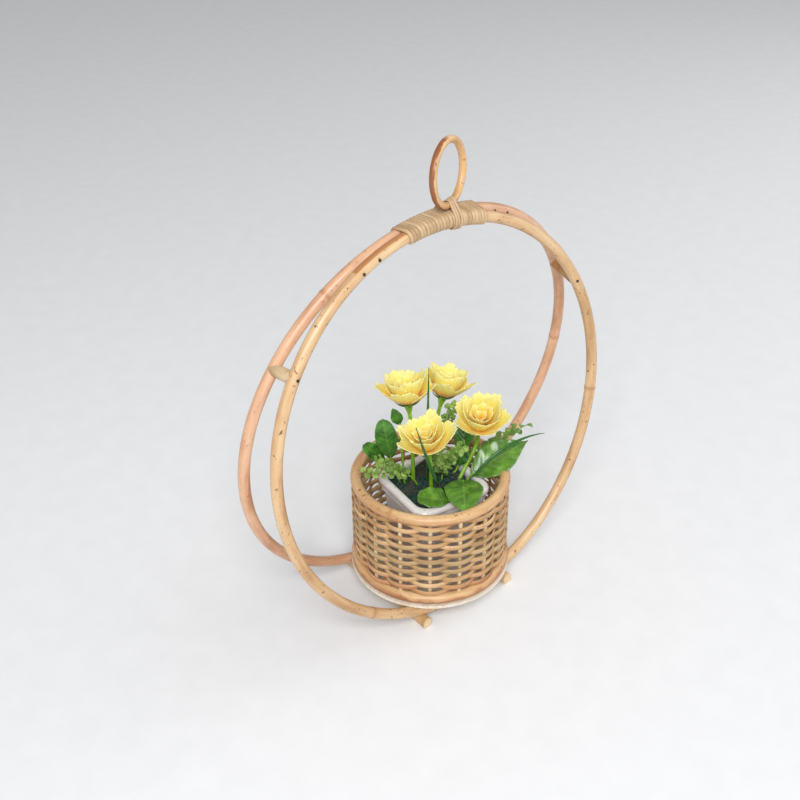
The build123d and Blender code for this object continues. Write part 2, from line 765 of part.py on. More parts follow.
def rooted_path(root, direction, depth, end, end_direction, run_in):
    """A path from inside the foam, out of the moss and round to an end, with a straight run-in."""
    with BuildLine() as line:
        Line(root - direction * depth, root)
        biarc(root, direction, end - end_direction * run_in, end_direction)
        Line(end - end_direction * run_in, end)
    return line.wire()


def rod(path, diameter):
    with BuildPart(mode=Mode.PRIVATE) as made:
        with BuildSketch(Plane(origin=path @ 0, z_dir=path % 0)):
            Circle(diameter / 2)
        sweep(path=path)
    return made.part


def root_hole(root, direction, depth, diameter):
    """The hole of a stem or stalk through the moss into the foam."""
    with BuildPart(mode=Mode.PRIVATE) as made:
        start = root - direction * (depth + joint_clearance)
        with BuildSketch(Plane(origin=start, z_dir=direction)):
            Circle(diameter / 2 + joint_clearance)
        extrude(amount=depth + overrun)
    return made.part


def curved_blade(base, tip, width, bow, face, thickness):
    """A pointed blade bowed along its length, with the direction it starts in."""
    run = tip - base
    side = run.cross(face).normalized()
    face = side.cross(run).normalized()
    middle = (run.length / 2, bow)
    with BuildPart(mode=Mode.PRIVATE) as made:
        with BuildSketch(Plane(origin=base, x_dir=run, z_dir=side)):
            with BuildLine():
                ThreePointArc((0, 0), middle, (run.length, 0))
                Line((run.length, 0), (run.length, thickness))
                ThreePointArc((run.length, thickness), (middle[0], bow + thickness), (0, thickness))
                Line((0, thickness), (0, 0))
            make_face()
        extrude(amount=width, both=True)
        with BuildSketch(Plane(origin=base, x_dir=run, z_dir=face)):
            with BuildLine():
                ThreePointArc((0, 0), (middle[0], width / 2), (run.length, 0))
                ThreePointArc((0, 0), (middle[0], -width / 2), (run.length, 0))
            make_face()
        extrude(amount=bow + thickness + overrun, both=True, mode=Mode.INTERSECT)
    rise = 2 * atan2(bow * 2, run.length)
    return made.part, run.normalized() * cos(rise) + face * sin(rise), face


root_holes = []
up = Vector(0, 0, 1)

# Blooms: a notched cup of petals, a heart in it, and a stem that widens into a calyx
for name, (rim_middle, axis, root, slant, notch_phase) in bloom_shares.items():
    axis = Vector(*axis).normalized()
    base = arranged(rim_middle) - axis * bloom_height
    root = root_place(root)
    slant = Vector(*slant).normalized()
    rim_radius = bloom_diameter / 2
    base_radius = calyx_diameter / 2
    plane = Plane(origin=base, x_dir=axis.cross(up.cross(axis) if abs(axis.Z) < 1 else Vector(0, 1, 0)),
                  z_dir=axis)
    side_plane = Plane(origin=base, x_dir=plane.x_dir, z_dir=plane.y_dir * -1)
    with BuildPart() as petals:
        with BuildSketch(side_plane):
            with BuildLine():
                belly = (rim_radius * petal_belly_share, bloom_height * petal_belly_height_share)
                Line((0, 0), (base_radius, 0))
                ThreePointArc((base_radius, 0), belly, (rim_radius, bloom_height))
                Line((rim_radius, bloom_height), (rim_radius - bloom_petal_thickness, bloom_height))
                ThreePointArc(
                    (rim_radius - bloom_petal_thickness, bloom_height),
                    (belly[0] - bloom_petal_thickness, belly[1] + bloom_petal_thickness / 2),
                    (base_radius - bloom_petal_thickness, bloom_petal_thickness),
                )
                Line((base_radius - bloom_petal_thickness, bloom_petal_thickness), (0, bloom_petal_thickness))
                Line((0, bloom_petal_thickness), (0, 0))
            make_face()
        revolve(axis=Axis(base, axis))
        with BuildSketch(plane.offset(bloom_height - bloom_notch_depth)):
            with PolarLocations(rim_radius, bloom_petal_count, start_angle=notch_phase):
                Rectangle(rim_radius, bloom_notch_width)
        extrude(amount=bloom_notch_depth * 2, mode=Mode.SUBTRACT)
    finish(petals, name + "_petals")

    with BuildPart() as heart:
        with BuildSketch(plane.offset(bloom_petal_thickness + joint_clearance)):
            Circle(base_radius - bloom_petal_thickness)
        with BuildSketch(plane.offset(bloom_height * heart_height_share)):
            Circle(bloom_heart_diameter / 2)
        loft()
        fillet(heart.edges().sort_by(Axis(base, axis))[-1], radius=heart_round)
    finish(heart, name + "_heart")

    foot = base - axis * (calyx_height + joint_clearance)
    path = rooted_path(root, slant, stem_depth, foot, axis, stem_diameter)
    with BuildPart() as stem:
        add(rod(path, stem_diameter))
        with BuildSketch(Plane(origin=foot, x_dir=plane.x_dir, z_dir=axis)):
            Circle(stem_diameter / 2)
        with BuildSketch(Plane(origin=foot + axis * calyx_height, x_dir=plane.x_dir, z_dir=axis)):
            Circle(calyx_diameter / 2)
        loft()
    finish(stem, name + "_stem")
    root_holes.append(root_hole(root, slant, stem_depth, stem_diameter))

# Leaves and grass: a curved blade on a stalk
blades = {
    name: (root, base, tip, leaf_width * width, bow, facing, leaf_thickness)
    for name, (root, base, tip, width, bow, facing) in leaf_shares.items()
}
for name, (root, base, tip, bow, facing) in grass_shares.items():
    blades[name] = (root, base, tip, grass_width, bow, facing, grass_thickness)
for name, (root, base, tip, width, bow, facing, thickness) in blades.items():
    root = root_place(root)
    base = arranged(base)
    tip = arranged(tip)
    bow = bow * (tip - base).length
    blade, direction, face = curved_blade(base, tip, width, bow, Vector(*facing), thickness)
    run_in = leaf_stalk_diameter * stalk_run_in_share
    joint = base + direction * run_in + face * (thickness / 2)
    path = rooted_path(root, up, stalk_depth, joint, direction, run_in)
    with BuildPart() as leaf:
        add(blade)
        add(rod(path, leaf_stalk_diameter))
    finish(leaf, name)
    root_holes.append(root_hole(root, up, stalk_depth, leaf_stalk_diameter))

# Sprigs: pairs of round leaflets along a stalk
for name, (root, base, tip, facing) in sprig_shares.items():
    base = arranged(base)
    tip = arranged(tip)
    root = root_place(root)
    run = tip - base
    side = run.cross(Vector(*facing)).normalized()
    face = side.cross(run).normalized()
    path = rooted_path(root, up, stalk_depth, tip, run.normalized(), run.length)
    places = [tip]
    for pair in range(sprig_pairs):
        along = base + run * (pair / sprig_pairs)
        for turn in (-1, 1):
            places.append(along + side * turn * sprig_leaflet_diameter * sprig_spread_share)
    with BuildPart() as sprig:
        add(rod(path, sprig_stalk_diameter))
        for place in places:
            with BuildSketch(Plane(origin=place - face * (sprig_leaflet_thickness / 2), z_dir=face)):
                Circle(sprig_leaflet_diameter / 2)
            extrude(amount=sprig_leaflet_thickness)
    finish(sprig, name)
    root_holes.append(root_hole(root, up, stalk_depth, sprig_stalk_diameter))

# Foam block and the moss over it, with the holes of all the roots
for name, block, round_over in (
    ("foam_block", square_loft(foam_bottom, foam_bottom_width, foam_top, foam_top_width), foam_round),
    ("moss", square_loft(moss_bottom, moss_width, moss_top, moss_width), moss_round),
):
    with BuildPart() as filling:
        add(block)
        fillet(filling.faces().sort_by(Axis.Z)[-1].edges(), radius=round_over)
        for hole in root_holes:
            add(hole, mode=Mode.SUBTRACT)
    finish(filling, name)
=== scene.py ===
# %% [markdown]
# # A hanging flower basket of rattan cane
# Two cane hoops are bound together at the top and spread at the foot, where they carry a round
# woven basket. A small glazed pot with artificial flowers stands in the basket. The CAD model gives
# every piece its place and size, and this lesson dresses it: what is wound, woven or soft is made
# again here in full, and what is plain keeps its CAD shape and gets its real finish.

# %% Load the CAD frame
import math

import bmesh
import bpy
import numpy as np
from mathutils import Matrix, Vector


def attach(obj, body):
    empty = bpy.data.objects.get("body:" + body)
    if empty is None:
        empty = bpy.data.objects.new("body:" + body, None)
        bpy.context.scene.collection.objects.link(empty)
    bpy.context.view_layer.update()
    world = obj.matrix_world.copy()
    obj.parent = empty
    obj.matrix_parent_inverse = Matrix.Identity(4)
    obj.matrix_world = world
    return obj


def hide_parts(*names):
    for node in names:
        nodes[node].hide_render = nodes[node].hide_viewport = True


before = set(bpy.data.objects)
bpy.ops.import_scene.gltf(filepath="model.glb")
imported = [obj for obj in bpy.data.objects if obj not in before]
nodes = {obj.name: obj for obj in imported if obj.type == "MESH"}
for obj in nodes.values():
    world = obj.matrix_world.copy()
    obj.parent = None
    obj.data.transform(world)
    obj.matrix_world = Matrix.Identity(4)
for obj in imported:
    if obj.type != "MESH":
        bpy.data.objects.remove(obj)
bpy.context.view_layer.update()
mm = 0.001
print("pieces in the frame:", len(nodes))

# %% [markdown]
# ## Small tools
# A colour is written as the sRGB hex value that the eye sees, and Blender wants it linear, so one
# function turns it. One other function adds a node of any kind to any tree, with its settings and
# its inputs. A node given as an input stands for its first output, which keeps the sums short.


# %% Colour and node helpers
def linear(code):
    """An sRGB hex colour as a linear RGBA tuple."""
    parts = [int(code[i:i + 2], 16) / 255 for i in (1, 3, 5)]
    return tuple(c / 12.92 if c <= 0.04045 else ((c + 0.055) / 1.055) ** 2.4 for c in parts) + (1.0,)


def add(tree, kind, inputs=(), stops=(), **settings):
    """Add a node with its settings and links, and return it.

    Inputs are a list in the node's own order, or a dictionary by name or index. Each is a value, a
    hex colour, another node's output, or another node, for the first output that it has in use.
    Stops are the places and hex colours of a colour ramp.
    """
    node = tree.nodes.new(kind)
    for name, value in settings.items():
        setattr(node, name, value)
    for name, value in inputs.items() if isinstance(inputs, dict) else enumerate(inputs):
        if isinstance(value, bpy.types.Node):
            value = next(socket for socket in value.outputs if socket.enabled)
        if isinstance(value, bpy.types.NodeSocket):
            tree.links.new(value, node.inputs[name])
        else:
            is_colour = isinstance(value, str) and value.startswith("#")
            node.inputs[name].default_value = linear(value) if is_colour else value
    if stops:
        elements = node.color_ramp.elements
        for _ in stops[2:]:
            elements.new(1.0)
        for element, (place, code) in zip(elements, stops):
            element.position = place
            element.color = linear(code)
    return node


def new_material(name):
    """A material, its empty tree, and the place on the piece that its patterns start from."""
    material = bpy.data.materials.new(name)
    material.use_nodes = True
    material.node_tree.nodes.clear()
    return material, material.node_tree, add(material.node_tree, "ShaderNodeTexCoord").outputs["Object"]


def surface(tree, colour, roughness, height=None, depth=0.0, **sockets):
    """End a material's tree in one shader, with a bump whose depth is in metres."""
    inputs = {"Base Color": colour, "Roughness": roughness}
    inputs.update({name.replace("_", " "): value for name, value in sockets.items()})
    if height is not None:
        inputs["Normal"] = add(tree, "ShaderNodeBump", {
            "Height": height, "Distance": depth, "Strength": 1.0})
    shader = add(tree, "ShaderNodeBsdfPrincipled", inputs)
    add(tree, "ShaderNodeOutputMaterial", {"Surface": shader})


print("a middle grey is", [round(c, 3) for c in linear("#808080")])

# %% [markdown]
# ## Cane
# Rattan cane is the peeled stem of a climbing palm. Its fibres run along the stem, so its colour
# changes in fine streaks along the length, and where a leaf sat there is a darker band. The pattern
# has to follow a bent cane, so the swept pieces carry an attribute called grain: a point on the
# cane as if it were straight, in metres. Noise on grain, squeezed across and stretched along, gives
# streaks about 0.7 mm wide and 30 mm long. Some canes keep a strip of brown skin or a stain, and the
# hanging ring has painted shade.


# %% Cane materials
# The sizes of the patterns, in metres.
fibre_width, fibre_length = 0.0007, 0.03
cloud_width, cloud_length = 0.008, 0.05
weather_size, speck_size = 0.022, 0.0032
skin_half_width, skin_edge = 0.0026, 0.0032
scarf_lowest = 0.2


def cane_material(name, base, pale, dark, streak="#8A5A30", roughness=0.36, coat=0.25, specks=0.5,
                  scarf=None, stain_and_shade=None):
    """Peeled and oiled cane: satin, with fibre streaks, cloudy colour, specks and leaf bands."""
    material, tree, place = new_material(name)
    grain = add(tree, "ShaderNodeAttribute", attribute_name="grain").outputs["Vector"]
    fibre = add(tree, "ShaderNodeMapping", {
        "Vector": grain, "Scale": (1 / fibre_width, 1 / fibre_width, 1 / fibre_length)})
    fibres = add(tree, "ShaderNodeTexNoise", {"Vector": fibre, "Scale": 1.0, "Detail": 3.0})
    cloud = add(tree, "ShaderNodeMapping", {
        "Vector": grain, "Scale": (1 / cloud_width, 1 / cloud_width, 1 / cloud_length)})
    clouds = add(tree, "ShaderNodeTexNoise", {"Vector": cloud, "Scale": 1.0, "Detail": 4.0})
    colour = add(tree, "ShaderNodeValToRGB", [clouds], stops=[(0.3, dark), (0.48, base), (0.72, pale)])
    streaks = add(tree, "ShaderNodeMapRange", [fibres, 0.56, 0.74], interpolation_type="SMOOTHSTEP")
    amount = add(tree, "ShaderNodeMath", [streaks, 0.4], operation="MULTIPLY")
    colour = add(tree, "ShaderNodeMix", {0: amount, 6: colour, 7: streak}, data_type="RGBA")
    weather = add(tree, "ShaderNodeTexNoise", {"Vector": place, "Scale": 1 / weather_size, "Detail": 3.0})
    share = add(tree, "ShaderNodeMapRange", [
        weather, 0.5, 0.68, 0.0, 0.35], interpolation_type="SMOOTHSTEP")
    colour = add(tree, "ShaderNodeMix", {0: share, 6: colour, 7: dark}, data_type="RGBA")
    dots = add(tree, "ShaderNodeTexNoise", {"Vector": place, "Scale": 1 / speck_size, "Detail": 2.0})
    spots = add(tree, "ShaderNodeMapRange", [
        dots, 0.64, 0.73, 0.0, specks], interpolation_type="SMOOTHSTEP")
    colour = add(tree, "ShaderNodeMix", {0: spots, 6: colour, 7: "#6B3A1C"}, data_type="RGBA")
    knot = add(tree, "ShaderNodeAttribute", attribute_name="knot").outputs["Fac"]
    amount = add(tree, "ShaderNodeMath", [knot, 0.6], operation="MULTIPLY")
    colour = add(tree, "ShaderNodeMix", {0: amount, 6: colour, 7: "#9A6636"}, data_type="RGBA")
    if scarf:
        away = {}
        for way in ("along", "across"):
            spot = add(tree, "ShaderNodeVectorMath", [place, scarf[way]], operation="DOT_PRODUCT")
            away[way] = add(tree, "ShaderNodeMath", [spot, scarf["middle " + way]], operation="SUBTRACT")
        run = add(tree, "ShaderNodeMath", [away["along"]], operation="ABSOLUTE")
        near = add(tree, "ShaderNodeMapRange", [
            run, scarf["half"] * 1.03, scarf["half"] * 0.99], interpolation_type="SMOOTHSTEP")
        height = add(tree, "ShaderNodeSeparateXYZ", [place]).outputs["Z"]
        normal = add(tree, "ShaderNodeTexCoord").outputs["Normal"]
        upper = add(tree, "ShaderNodeSeparateXYZ", [normal]).outputs["Z"]
        above = add(tree, "ShaderNodeMath", [height, scarf_lowest], operation="GREATER_THAN")
        near = add(tree, "ShaderNodeMath", [near, above], operation="MULTIPLY")
        share = add(tree, "ShaderNodeMapRange", [upper, 0.0, 0.1], interpolation_type="SMOOTHSTEP")
        near = add(tree, "ShaderNodeMath", [near, share], operation="MULTIPLY")
        skin = add(tree, "ShaderNodeMapRange", [
            away["across"], skin_edge, skin_half_width, 0.0, near], interpolation_type="SMOOTHSTEP")
        amount = add(tree, "ShaderNodeMath", [skin, scarf["strength"]], operation="MULTIPLY")
        colour = add(tree, "ShaderNodeMix", {0: amount, 6: colour, 7: "#A86C34"}, data_type="RGBA")
    # Extra colour on some canes: stains, and painted shade on the hanging ring.
    if stain_and_shade:
        colour = stain_and_shade(tree, place, colour)
    shine = add(tree, "ShaderNodeMapRange", [fibres, 0.2, 0.8], interpolation_type="SMOOTHSTEP")
    rough = add(tree, "ShaderNodeMath", [shine, 0.14, roughness], operation="MULTIPLY_ADD")
    surface(tree, colour, rough, fibres, 0.00012, Coat_Weight=coat, Coat_Roughness=0.3)
    return material


print("cane materials ready")

# %% [markdown]
# ## Sweeping a cane along its path
# A bent cane is one round section swept along a line, so Geometry Nodes make it: the path comes in
# as a chain of points, turns into a curve, and a circle is swept along it. The tree writes the grain
# attribute on the way, and swells the cane a little at the leaf bands, which the path marks.


# %% The tree that sweeps a cane
def new_tree(name, inputs):
    """A Geometry Nodes tree with named inputs, its group input and output nodes."""
    tree = bpy.data.node_groups.new(name, "GeometryNodeTree")
    for label, kind in inputs:
        tree.interface.new_socket(label, in_out="INPUT", socket_type="NodeSocket" + kind)
    tree.interface.new_socket("Geometry", in_out="OUTPUT", socket_type="NodeSocketGeometry")
    return tree, add(tree, "NodeGroupInput").outputs


def end_tree(tree, geometry, material):
    """Every tree ends the same way: real faces, smooth, with the material."""
    smooth = add(tree, "GeometryNodeSetShadeSmooth", {"Geometry": geometry})
    real = add(tree, "GeometryNodeRealizeInstances", {"Geometry": smooth})
    painted = add(tree, "GeometryNodeSetMaterial", {"Geometry": real, "Material": material})
    add(tree, "NodeGroupOutput", [painted])


cane_tree, given = new_tree("sweep_a_cane", [
    ("Path", "Geometry"), ("Radius", "Float"), ("Sides", "Int"), ("Swelling", "Float"),
    ("Unevenness", "Float"), ("Material", "Material")])
line = add(cane_tree, "GeometryNodeMeshToCurve", {"Mesh": given["Path"]})
spline = add(cane_tree, "GeometryNodeSplineParameter").outputs
line = add(cane_tree, "GeometryNodeStoreNamedAttribute", {
    "Geometry": line, "Name": "along", "Value": spline["Length"]})
section = add(cane_tree, "GeometryNodeCurvePrimitiveCircle", {
    "Resolution": given["Sides"], "Radius": given["Radius"]})
section = add(cane_tree, "GeometryNodeStoreNamedAttribute", {
    "Geometry": section, "Name": "turn", "Value": spline["Factor"]})
tube = add(cane_tree, "GeometryNodeCurveToMesh", {
    "Curve": line, "Profile Curve": section, "Fill Caps": True})
mark = add(cane_tree, "GeometryNodeInputNamedAttribute", {"Name": "turn"})
turn = add(cane_tree, "ShaderNodeMath", [mark, math.tau], operation="MULTIPLY")
straight = {"Z": add(cane_tree, "GeometryNodeInputNamedAttribute", {"Name": "along"})}
for way, wave in (("X", "COSINE"), ("Y", "SINE")):
    part = add(cane_tree, "ShaderNodeMath", [turn], operation=wave)
    straight[way] = add(cane_tree, "ShaderNodeMath", [part, given["Radius"]], operation="MULTIPLY")
grain = add(cane_tree, "ShaderNodeCombineXYZ", straight)
tube = add(cane_tree, "GeometryNodeStoreNamedAttribute", {
    "Geometry": tube, "Name": "grain", "Value": grain}, data_type="FLOAT_VECTOR")
bumps = add(cane_tree, "ShaderNodeTexNoise", {"Vector": grain, "Scale": 45.0, "Detail": 1.0})
centred = add(cane_tree, "ShaderNodeMath", [bumps, 0.5], operation="SUBTRACT")
lift = add(cane_tree, "ShaderNodeMath", [centred, given["Unevenness"]], operation="MULTIPLY")
knot = add(cane_tree, "GeometryNodeInputNamedAttribute", {"Name": "knot"})
lift = add(cane_tree, "ShaderNodeMath", [knot, given["Swelling"], lift], operation="MULTIPLY_ADD")
outward = add(cane_tree, "GeometryNodeInputNormal")
push = add(cane_tree, "ShaderNodeVectorMath", {0: outward, "Scale": lift}, operation="SCALE")
tube = add(cane_tree, "GeometryNodeSetPosition", {"Geometry": tube, "Offset": push})
end_tree(cane_tree, tube, given["Material"])
print("cane tree nodes:", len(cane_tree.nodes))


def run_tree(name, tree, start, sizes):
    """Run a tree on a start object and keep the result as a plain mesh, as a new piece."""
    modifier = start.modifiers.new(tree.name, "NODES")
    modifier.node_group = tree
    for socket in tree.interface.items_tree:
        if socket.in_out == "INPUT" and socket.name in sizes:
            modifier[socket.identifier] = sizes[socket.name]
    graph = bpy.context.evaluated_depsgraph_get()
    mesh = bpy.data.meshes.new_from_object(start.evaluated_get(graph), depsgraph=graph)
    start.modifiers.remove(modifier)
    bpy.data.objects.remove(start)
    mesh.name = name
    piece = bpy.data.objects.new(name, mesh)
    bpy.context.scene.collection.objects.link(piece)
    print(name, "triangles:", sum(len(p.vertices) - 2 for p in mesh.polygons))
    return piece


def chain(name, points, closed=False, knots=None):
    """A start object: points joined in a row, with the leaf bands marked on them."""
    count = len(points)
    edges = [(i, i + 1) for i in range(count - 1)] + ([(count - 1, 0)] if closed else [])
    mesh = bpy.data.meshes.new(name)
    mesh.from_pydata([tuple(p) for p in points], edges, [])
    if knots is not None:
        mesh.attributes.new("knot", "FLOAT", "POINT").data.foreach_set("value", list(knots))
    start = bpy.data.objects.new(name, mesh)
    bpy.context.scene.collection.objects.link(start)
    return start


def swept_cane(name, points, radius, material, knots=None, sides=20, uneven=0.1):
    """A cane bent to a closed ring. Sizes are in millimetres, the path in metres."""
    sizes = {"Radius": radius * mm, "Sides": sides, "Swelling": 0.35 * mm, "Unevenness": uneven * mm,
             "Material": material}
    return run_tree(name, cane_tree, chain(name + "_path", points, True, knots), sizes)


# %% [markdown]
# ## The two hoops
# Each hoop is one cane bent to an oval of four arcs, and its two ends overlap in a long slanted cut,
# the scarf joint. The rule of the oval gives every other piece on the hoops its place, so it is a
# small class: a point by its angle from the top, and the directions there. The cane is swept here
# as a closed ring, and the strip of brown skin that was left on the joint shows where it is.


# %% The oval rule
class Hoop:
    """An oval of four tangent arcs in a leaning plane, all in millimetres."""

    def __init__(self, width, side_shift, top_y, foot_y, turn, foot_z=6.551, height=342.4):
        self.half_width = width / 2
        self.half_height = math.hypot(height, top_y - foot_y) / 2
        step = (self.half_width - self.half_height) / (math.sqrt(2) - 1)
        self.side_radius = self.half_width - step / math.sqrt(2)
        self.end_radius = self.half_height + step / math.sqrt(2)
        self.x_dir = np.array([math.cos(math.radians(turn)), math.sin(math.radians(turn)), 0])
        lean = np.array([0, top_y - foot_y, height]) / math.hypot(height, top_y - foot_y)
        self.z_dir = np.cross(self.x_dir, lean)
        self.z_dir /= np.linalg.norm(self.z_dir)
        self.y_dir = np.cross(self.z_dir, self.x_dir)
        self.centre = np.array([side_shift, (top_y + foot_y) / 2, foot_z + height / 2])

    def point(self, angle):
        s, c = math.sin(math.radians(angle)), math.cos(math.radians(angle))
        if abs(s) > math.sin(math.pi / 4):
            radius = self.side_radius
            x, y = (self.half_width - radius) * (1 if s > 0 else -1), 0
        else:
            radius = self.end_radius
            x, y = 0, (self.half_height - radius) * (1 if c > 0 else -1)
        return self.centre + self.x_dir * (x + s * radius) + self.y_dir * (y + c * radius)

    def outward(self, angle):
        a = math.radians(angle)
        return self.x_dir * math.sin(a) + self.y_dir * math.cos(a)

    def along(self, angle):
        a = math.radians(angle)
        return self.x_dir * math.cos(a) - self.y_dir * math.sin(a)


cane_radius, scarf_length = 4.75, 54.0
front = Hoop(332.6, -6.4, -7.05, -43.1, -0.95)
rear = Hoop(347.4, 0, 3.05, 50.8, 1.14)
print("front hoop top", front.point(0).round(1), "rear hoop foot", rear.point(180).round(1))


def scarf_on(hoop, angle, strength):
    """Where a strip of brown skin was left along a hoop's scarf joint, for its material."""
    place = hoop.point(angle)
    along = hoop.along(angle)
    return {"across": tuple(hoop.z_dir), "middle across": float(place @ hoop.z_dir) * mm,
            "along": tuple(along), "middle along": float(place @ along) * mm,
            "half": scarf_length / 2 * mm, "strength": strength}


# %% Hoop canes
def leaf_bands(angles, bands, spread):
    """How strong a leaf band is at each angle of a ring, in degrees."""
    return [max(math.exp(-(((a - b + 180) % 360 - 180) / spread) ** 2) for b in bands) for a in angles]


front_cane = cane_material("front_hoop_peeled_rattan", "#CFA97C", "#DEC197", "#B1875B", specks=0.9,
                           scarf=scarf_on(front, -19.0, 0.85))
rear_cane = cane_material("rear_hoop_peeled_rattan", "#D6A683", "#E3BE9E", "#B98562", streak="#9A6444",
                          specks=0.45, scarf=scarf_on(rear, 23.0, 0.25))
for name, hoop, material, bands in (("front_hoop", front, front_cane, (99, -144)),
                                    ("rear_hoop", rear, rear_cane, (-36, 92))):
    angles = np.arange(0, 360, 0.75)
    points = [hoop.point(a) * mm for a in angles]
    knots = leaf_bands(angles, bands, 0.5)
    piece = swept_cane(name + "_cane", points, cane_radius, material, knots=knots, sides=24)
    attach(piece, "basket_stand")
    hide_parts(name)

# %% [markdown]
# ## The hanging ring
# A thinner cane bent to a small ring. On the left, its outer face is painted dark brown as shade.
# Where this painted shade lies comes from where the face lies on the ring: outside the middle line,
# and left of the middle.

# %% Hanging ring
ring_centre = np.array([9.563, -1.183, 383.041])
ring_radius, ring_cane_radius = 24.6, 3.0
ring_turn, ring_lean = math.radians(22.1), math.radians(3.4)
ring_along = np.array([math.cos(ring_turn), math.sin(ring_turn), 0])
ring_across = np.array([-ring_along[1], ring_along[0], 0])
ring_up = np.array([0, 0, 1]) * math.cos(ring_lean) + ring_across * math.sin(ring_lean)


def painted_shade_outer_left(tree, place, colour):
    """Painted shade: dark brown on the outer face of the ring's left half."""
    from_middle = add(tree, "ShaderNodeVectorMath", {0: place, 1: tuple(ring_centre * mm)},
                      operation="SUBTRACT")
    parts = []
    for direction in (ring_along, ring_up):
        parts.append(add(tree, "ShaderNodeVectorMath", [from_middle, tuple(direction)],
                         operation="DOT_PRODUCT"))
    squares = [add(tree, "ShaderNodeMath", [part, part], operation="MULTIPLY") for part in parts]
    total = add(tree, "ShaderNodeMath", [squares[0], squares[1]], operation="ADD")
    away = add(tree, "ShaderNodeMath", [total], operation="SQRT")
    noise = add(tree, "ShaderNodeTexNoise", {"Vector": place, "Scale": 260.0})
    centred = add(tree, "ShaderNodeMath", [noise, 0.5], operation="SUBTRACT")
    away = add(tree, "ShaderNodeMath", [centred, 0.002, away], operation="MULTIPLY_ADD")
    outer = add(tree, "ShaderNodeMapRange", [
        away, (ring_radius + 1.7) * mm, (ring_radius + 2.5) * mm], interpolation_type="SMOOTHSTEP")
    left = add(tree, "ShaderNodeMapRange", [parts[0], 0.002, -0.006], interpolation_type="SMOOTHSTEP")
    # Painted shade: the outer face on the ring's left is mixed towards dark brown.
    skin = add(tree, "ShaderNodeMath", [outer, left], operation="MULTIPLY")
    amount = add(tree, "ShaderNodeMath", [skin, 0.9], operation="MULTIPLY")
    return add(tree, "ShaderNodeMix", {0: amount, 6: colour, 7: "#84441F"}, data_type="RGBA")


ring_material = cane_material("hanging_ring_thin_cane", "#D0A46E", "#E0BC89", "#B1824F", streak="#7A4A26",
                              stain_and_shade=painted_shade_outer_left)
points = []
for a in np.arange(0, 360, 3.0):
    r = math.radians(a)
    points.append((ring_centre + (ring_along * math.sin(r) + ring_up * math.cos(r)) * ring_radius) * mm)
hanging_ring = swept_cane("hanging_ring_cane", points, ring_cane_radius, ring_material, sides=18)
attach(hanging_ring, "basket_stand")
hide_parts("hanging_ring")

# %% [markdown]
# ## The binding and the lashing
# Split cane is wound tightly round both hoops at the top, 24 turns, each beside the last. The strip
# is flat inside and round outside, so a round tube would look like rope: the strip's own section is
# carried along the winding, with its crown always outward. Both windings follow a belt: the
# shortest loop round the canes in them.


# %% A belt round canes, and a strip along it
class Section:
    """A section square to the front cane."""

    def __init__(self, angle):
        self.origin = front.point(angle)
        self.along = front.along(angle)
        rear_angle = angle
        for _ in range(4):
            ahead = (rear.point(rear_angle) - self.origin) @ self.along
            rear_angle -= math.degrees(ahead / rear.end_radius)
        self.rear_point = rear.point(rear_angle)
        self.across = (self.rear_point - self.origin) / np.linalg.norm(self.rear_point - self.origin)
        self.up = np.cross(self.across, self.along)
        if self.up @ front.outward(angle) < 0:
            self.up = -self.up

    def flat(self, place):
        return np.array([(place - self.origin) @ self.across, (place - self.origin) @ self.up])


def belt(circles, count):
    """Points and outward directions, evenly spaced, on the belt round some circles."""
    places, outs = [], []
    for a in np.linspace(-math.pi / 2, 1.5 * math.pi, 361):
        out = np.array([math.cos(a), math.sin(a)])
        best = max(circles, key=lambda c: c[0] @ out + c[1])
        places.append(best[0] + out * best[1])
        outs.append(out)
    places, outs = np.array(places), np.array(outs)
    steps = np.concatenate([[0], np.cumsum(np.linalg.norm(np.diff(places, axis=0), axis=1))])
    even = np.linspace(0, steps[-1], count, endpoint=False)
    point = np.stack([np.interp(even, steps, places[:, i]) for i in (0, 1)], axis=1)
    out = np.stack([np.interp(even, steps, outs[:, i]) for i in (0, 1)], axis=1)
    return point, out / np.linalg.norm(out, axis=1)[:, None]


def wound_strip(name, start, end, turns, circles_at, width, thick, material, steps=44):
    """A half-round strip wound round canes from one hoop angle to another."""
    rows, total = [], turns * steps
    rng = np.random.default_rng(7)
    drift = np.convolve(rng.normal(0, 1, total + 60), np.ones(40) / 40, mode="valid")[:total + 1] * 0.9
    for index in range(total + 1):
        angle = start + (end - start) * index / total
        section = Section(angle)
        point, out = belt(circles_at(section), steps)
        point, out = point[index % steps], out[index % steps]
        middle = section.origin + section.across * point[0] + section.up * point[1]
        middle += section.along * drift[index]
        normal = section.across * out[0] + section.up * out[1]
        rows.append((middle, normal))
    middles = np.array([m for m, _ in rows])
    tangents = np.gradient(middles, axis=0)
    verts, faces, grains = [], [], []
    # The strip's section as shares of its width and thickness: flat below, crowned above.
    outline = [(-0.5, 0), (-0.46, 0.45), (-0.3, 0.84), (0, 1), (0.3, 0.84), (0.46, 0.45), (0.5, 0),
               (0, -0.06)]
    run = 0.0
    for index, (middle, normal) in enumerate(rows):
        tangent = tangents[index] / np.linalg.norm(tangents[index])
        side = np.cross(normal, tangent)
        side /= np.linalg.norm(side)
        if index:
            run += np.linalg.norm(middles[index] - middles[index - 1])
        taper = min(1, (index + 1) / 6, (total - index + 1) / 6)
        for x, y in outline:
            verts.append((middle + side * x * width * (0.6 + 0.4 * taper) + normal * y * thick) * mm)
            grains.append((x * width * mm, y * thick * mm, run * mm))
    n = len(outline)
    for index in range(total):
        for k in range(n):
            a, b = index * n + k, index * n + (k + 1) % n
            faces.append((a, b, b + n, a + n))
    faces.append(tuple(range(n)))
    faces.append(tuple(total * n + k for k in reversed(range(n))))
    return new_piece(name, verts, faces, material, {"grain": grains})


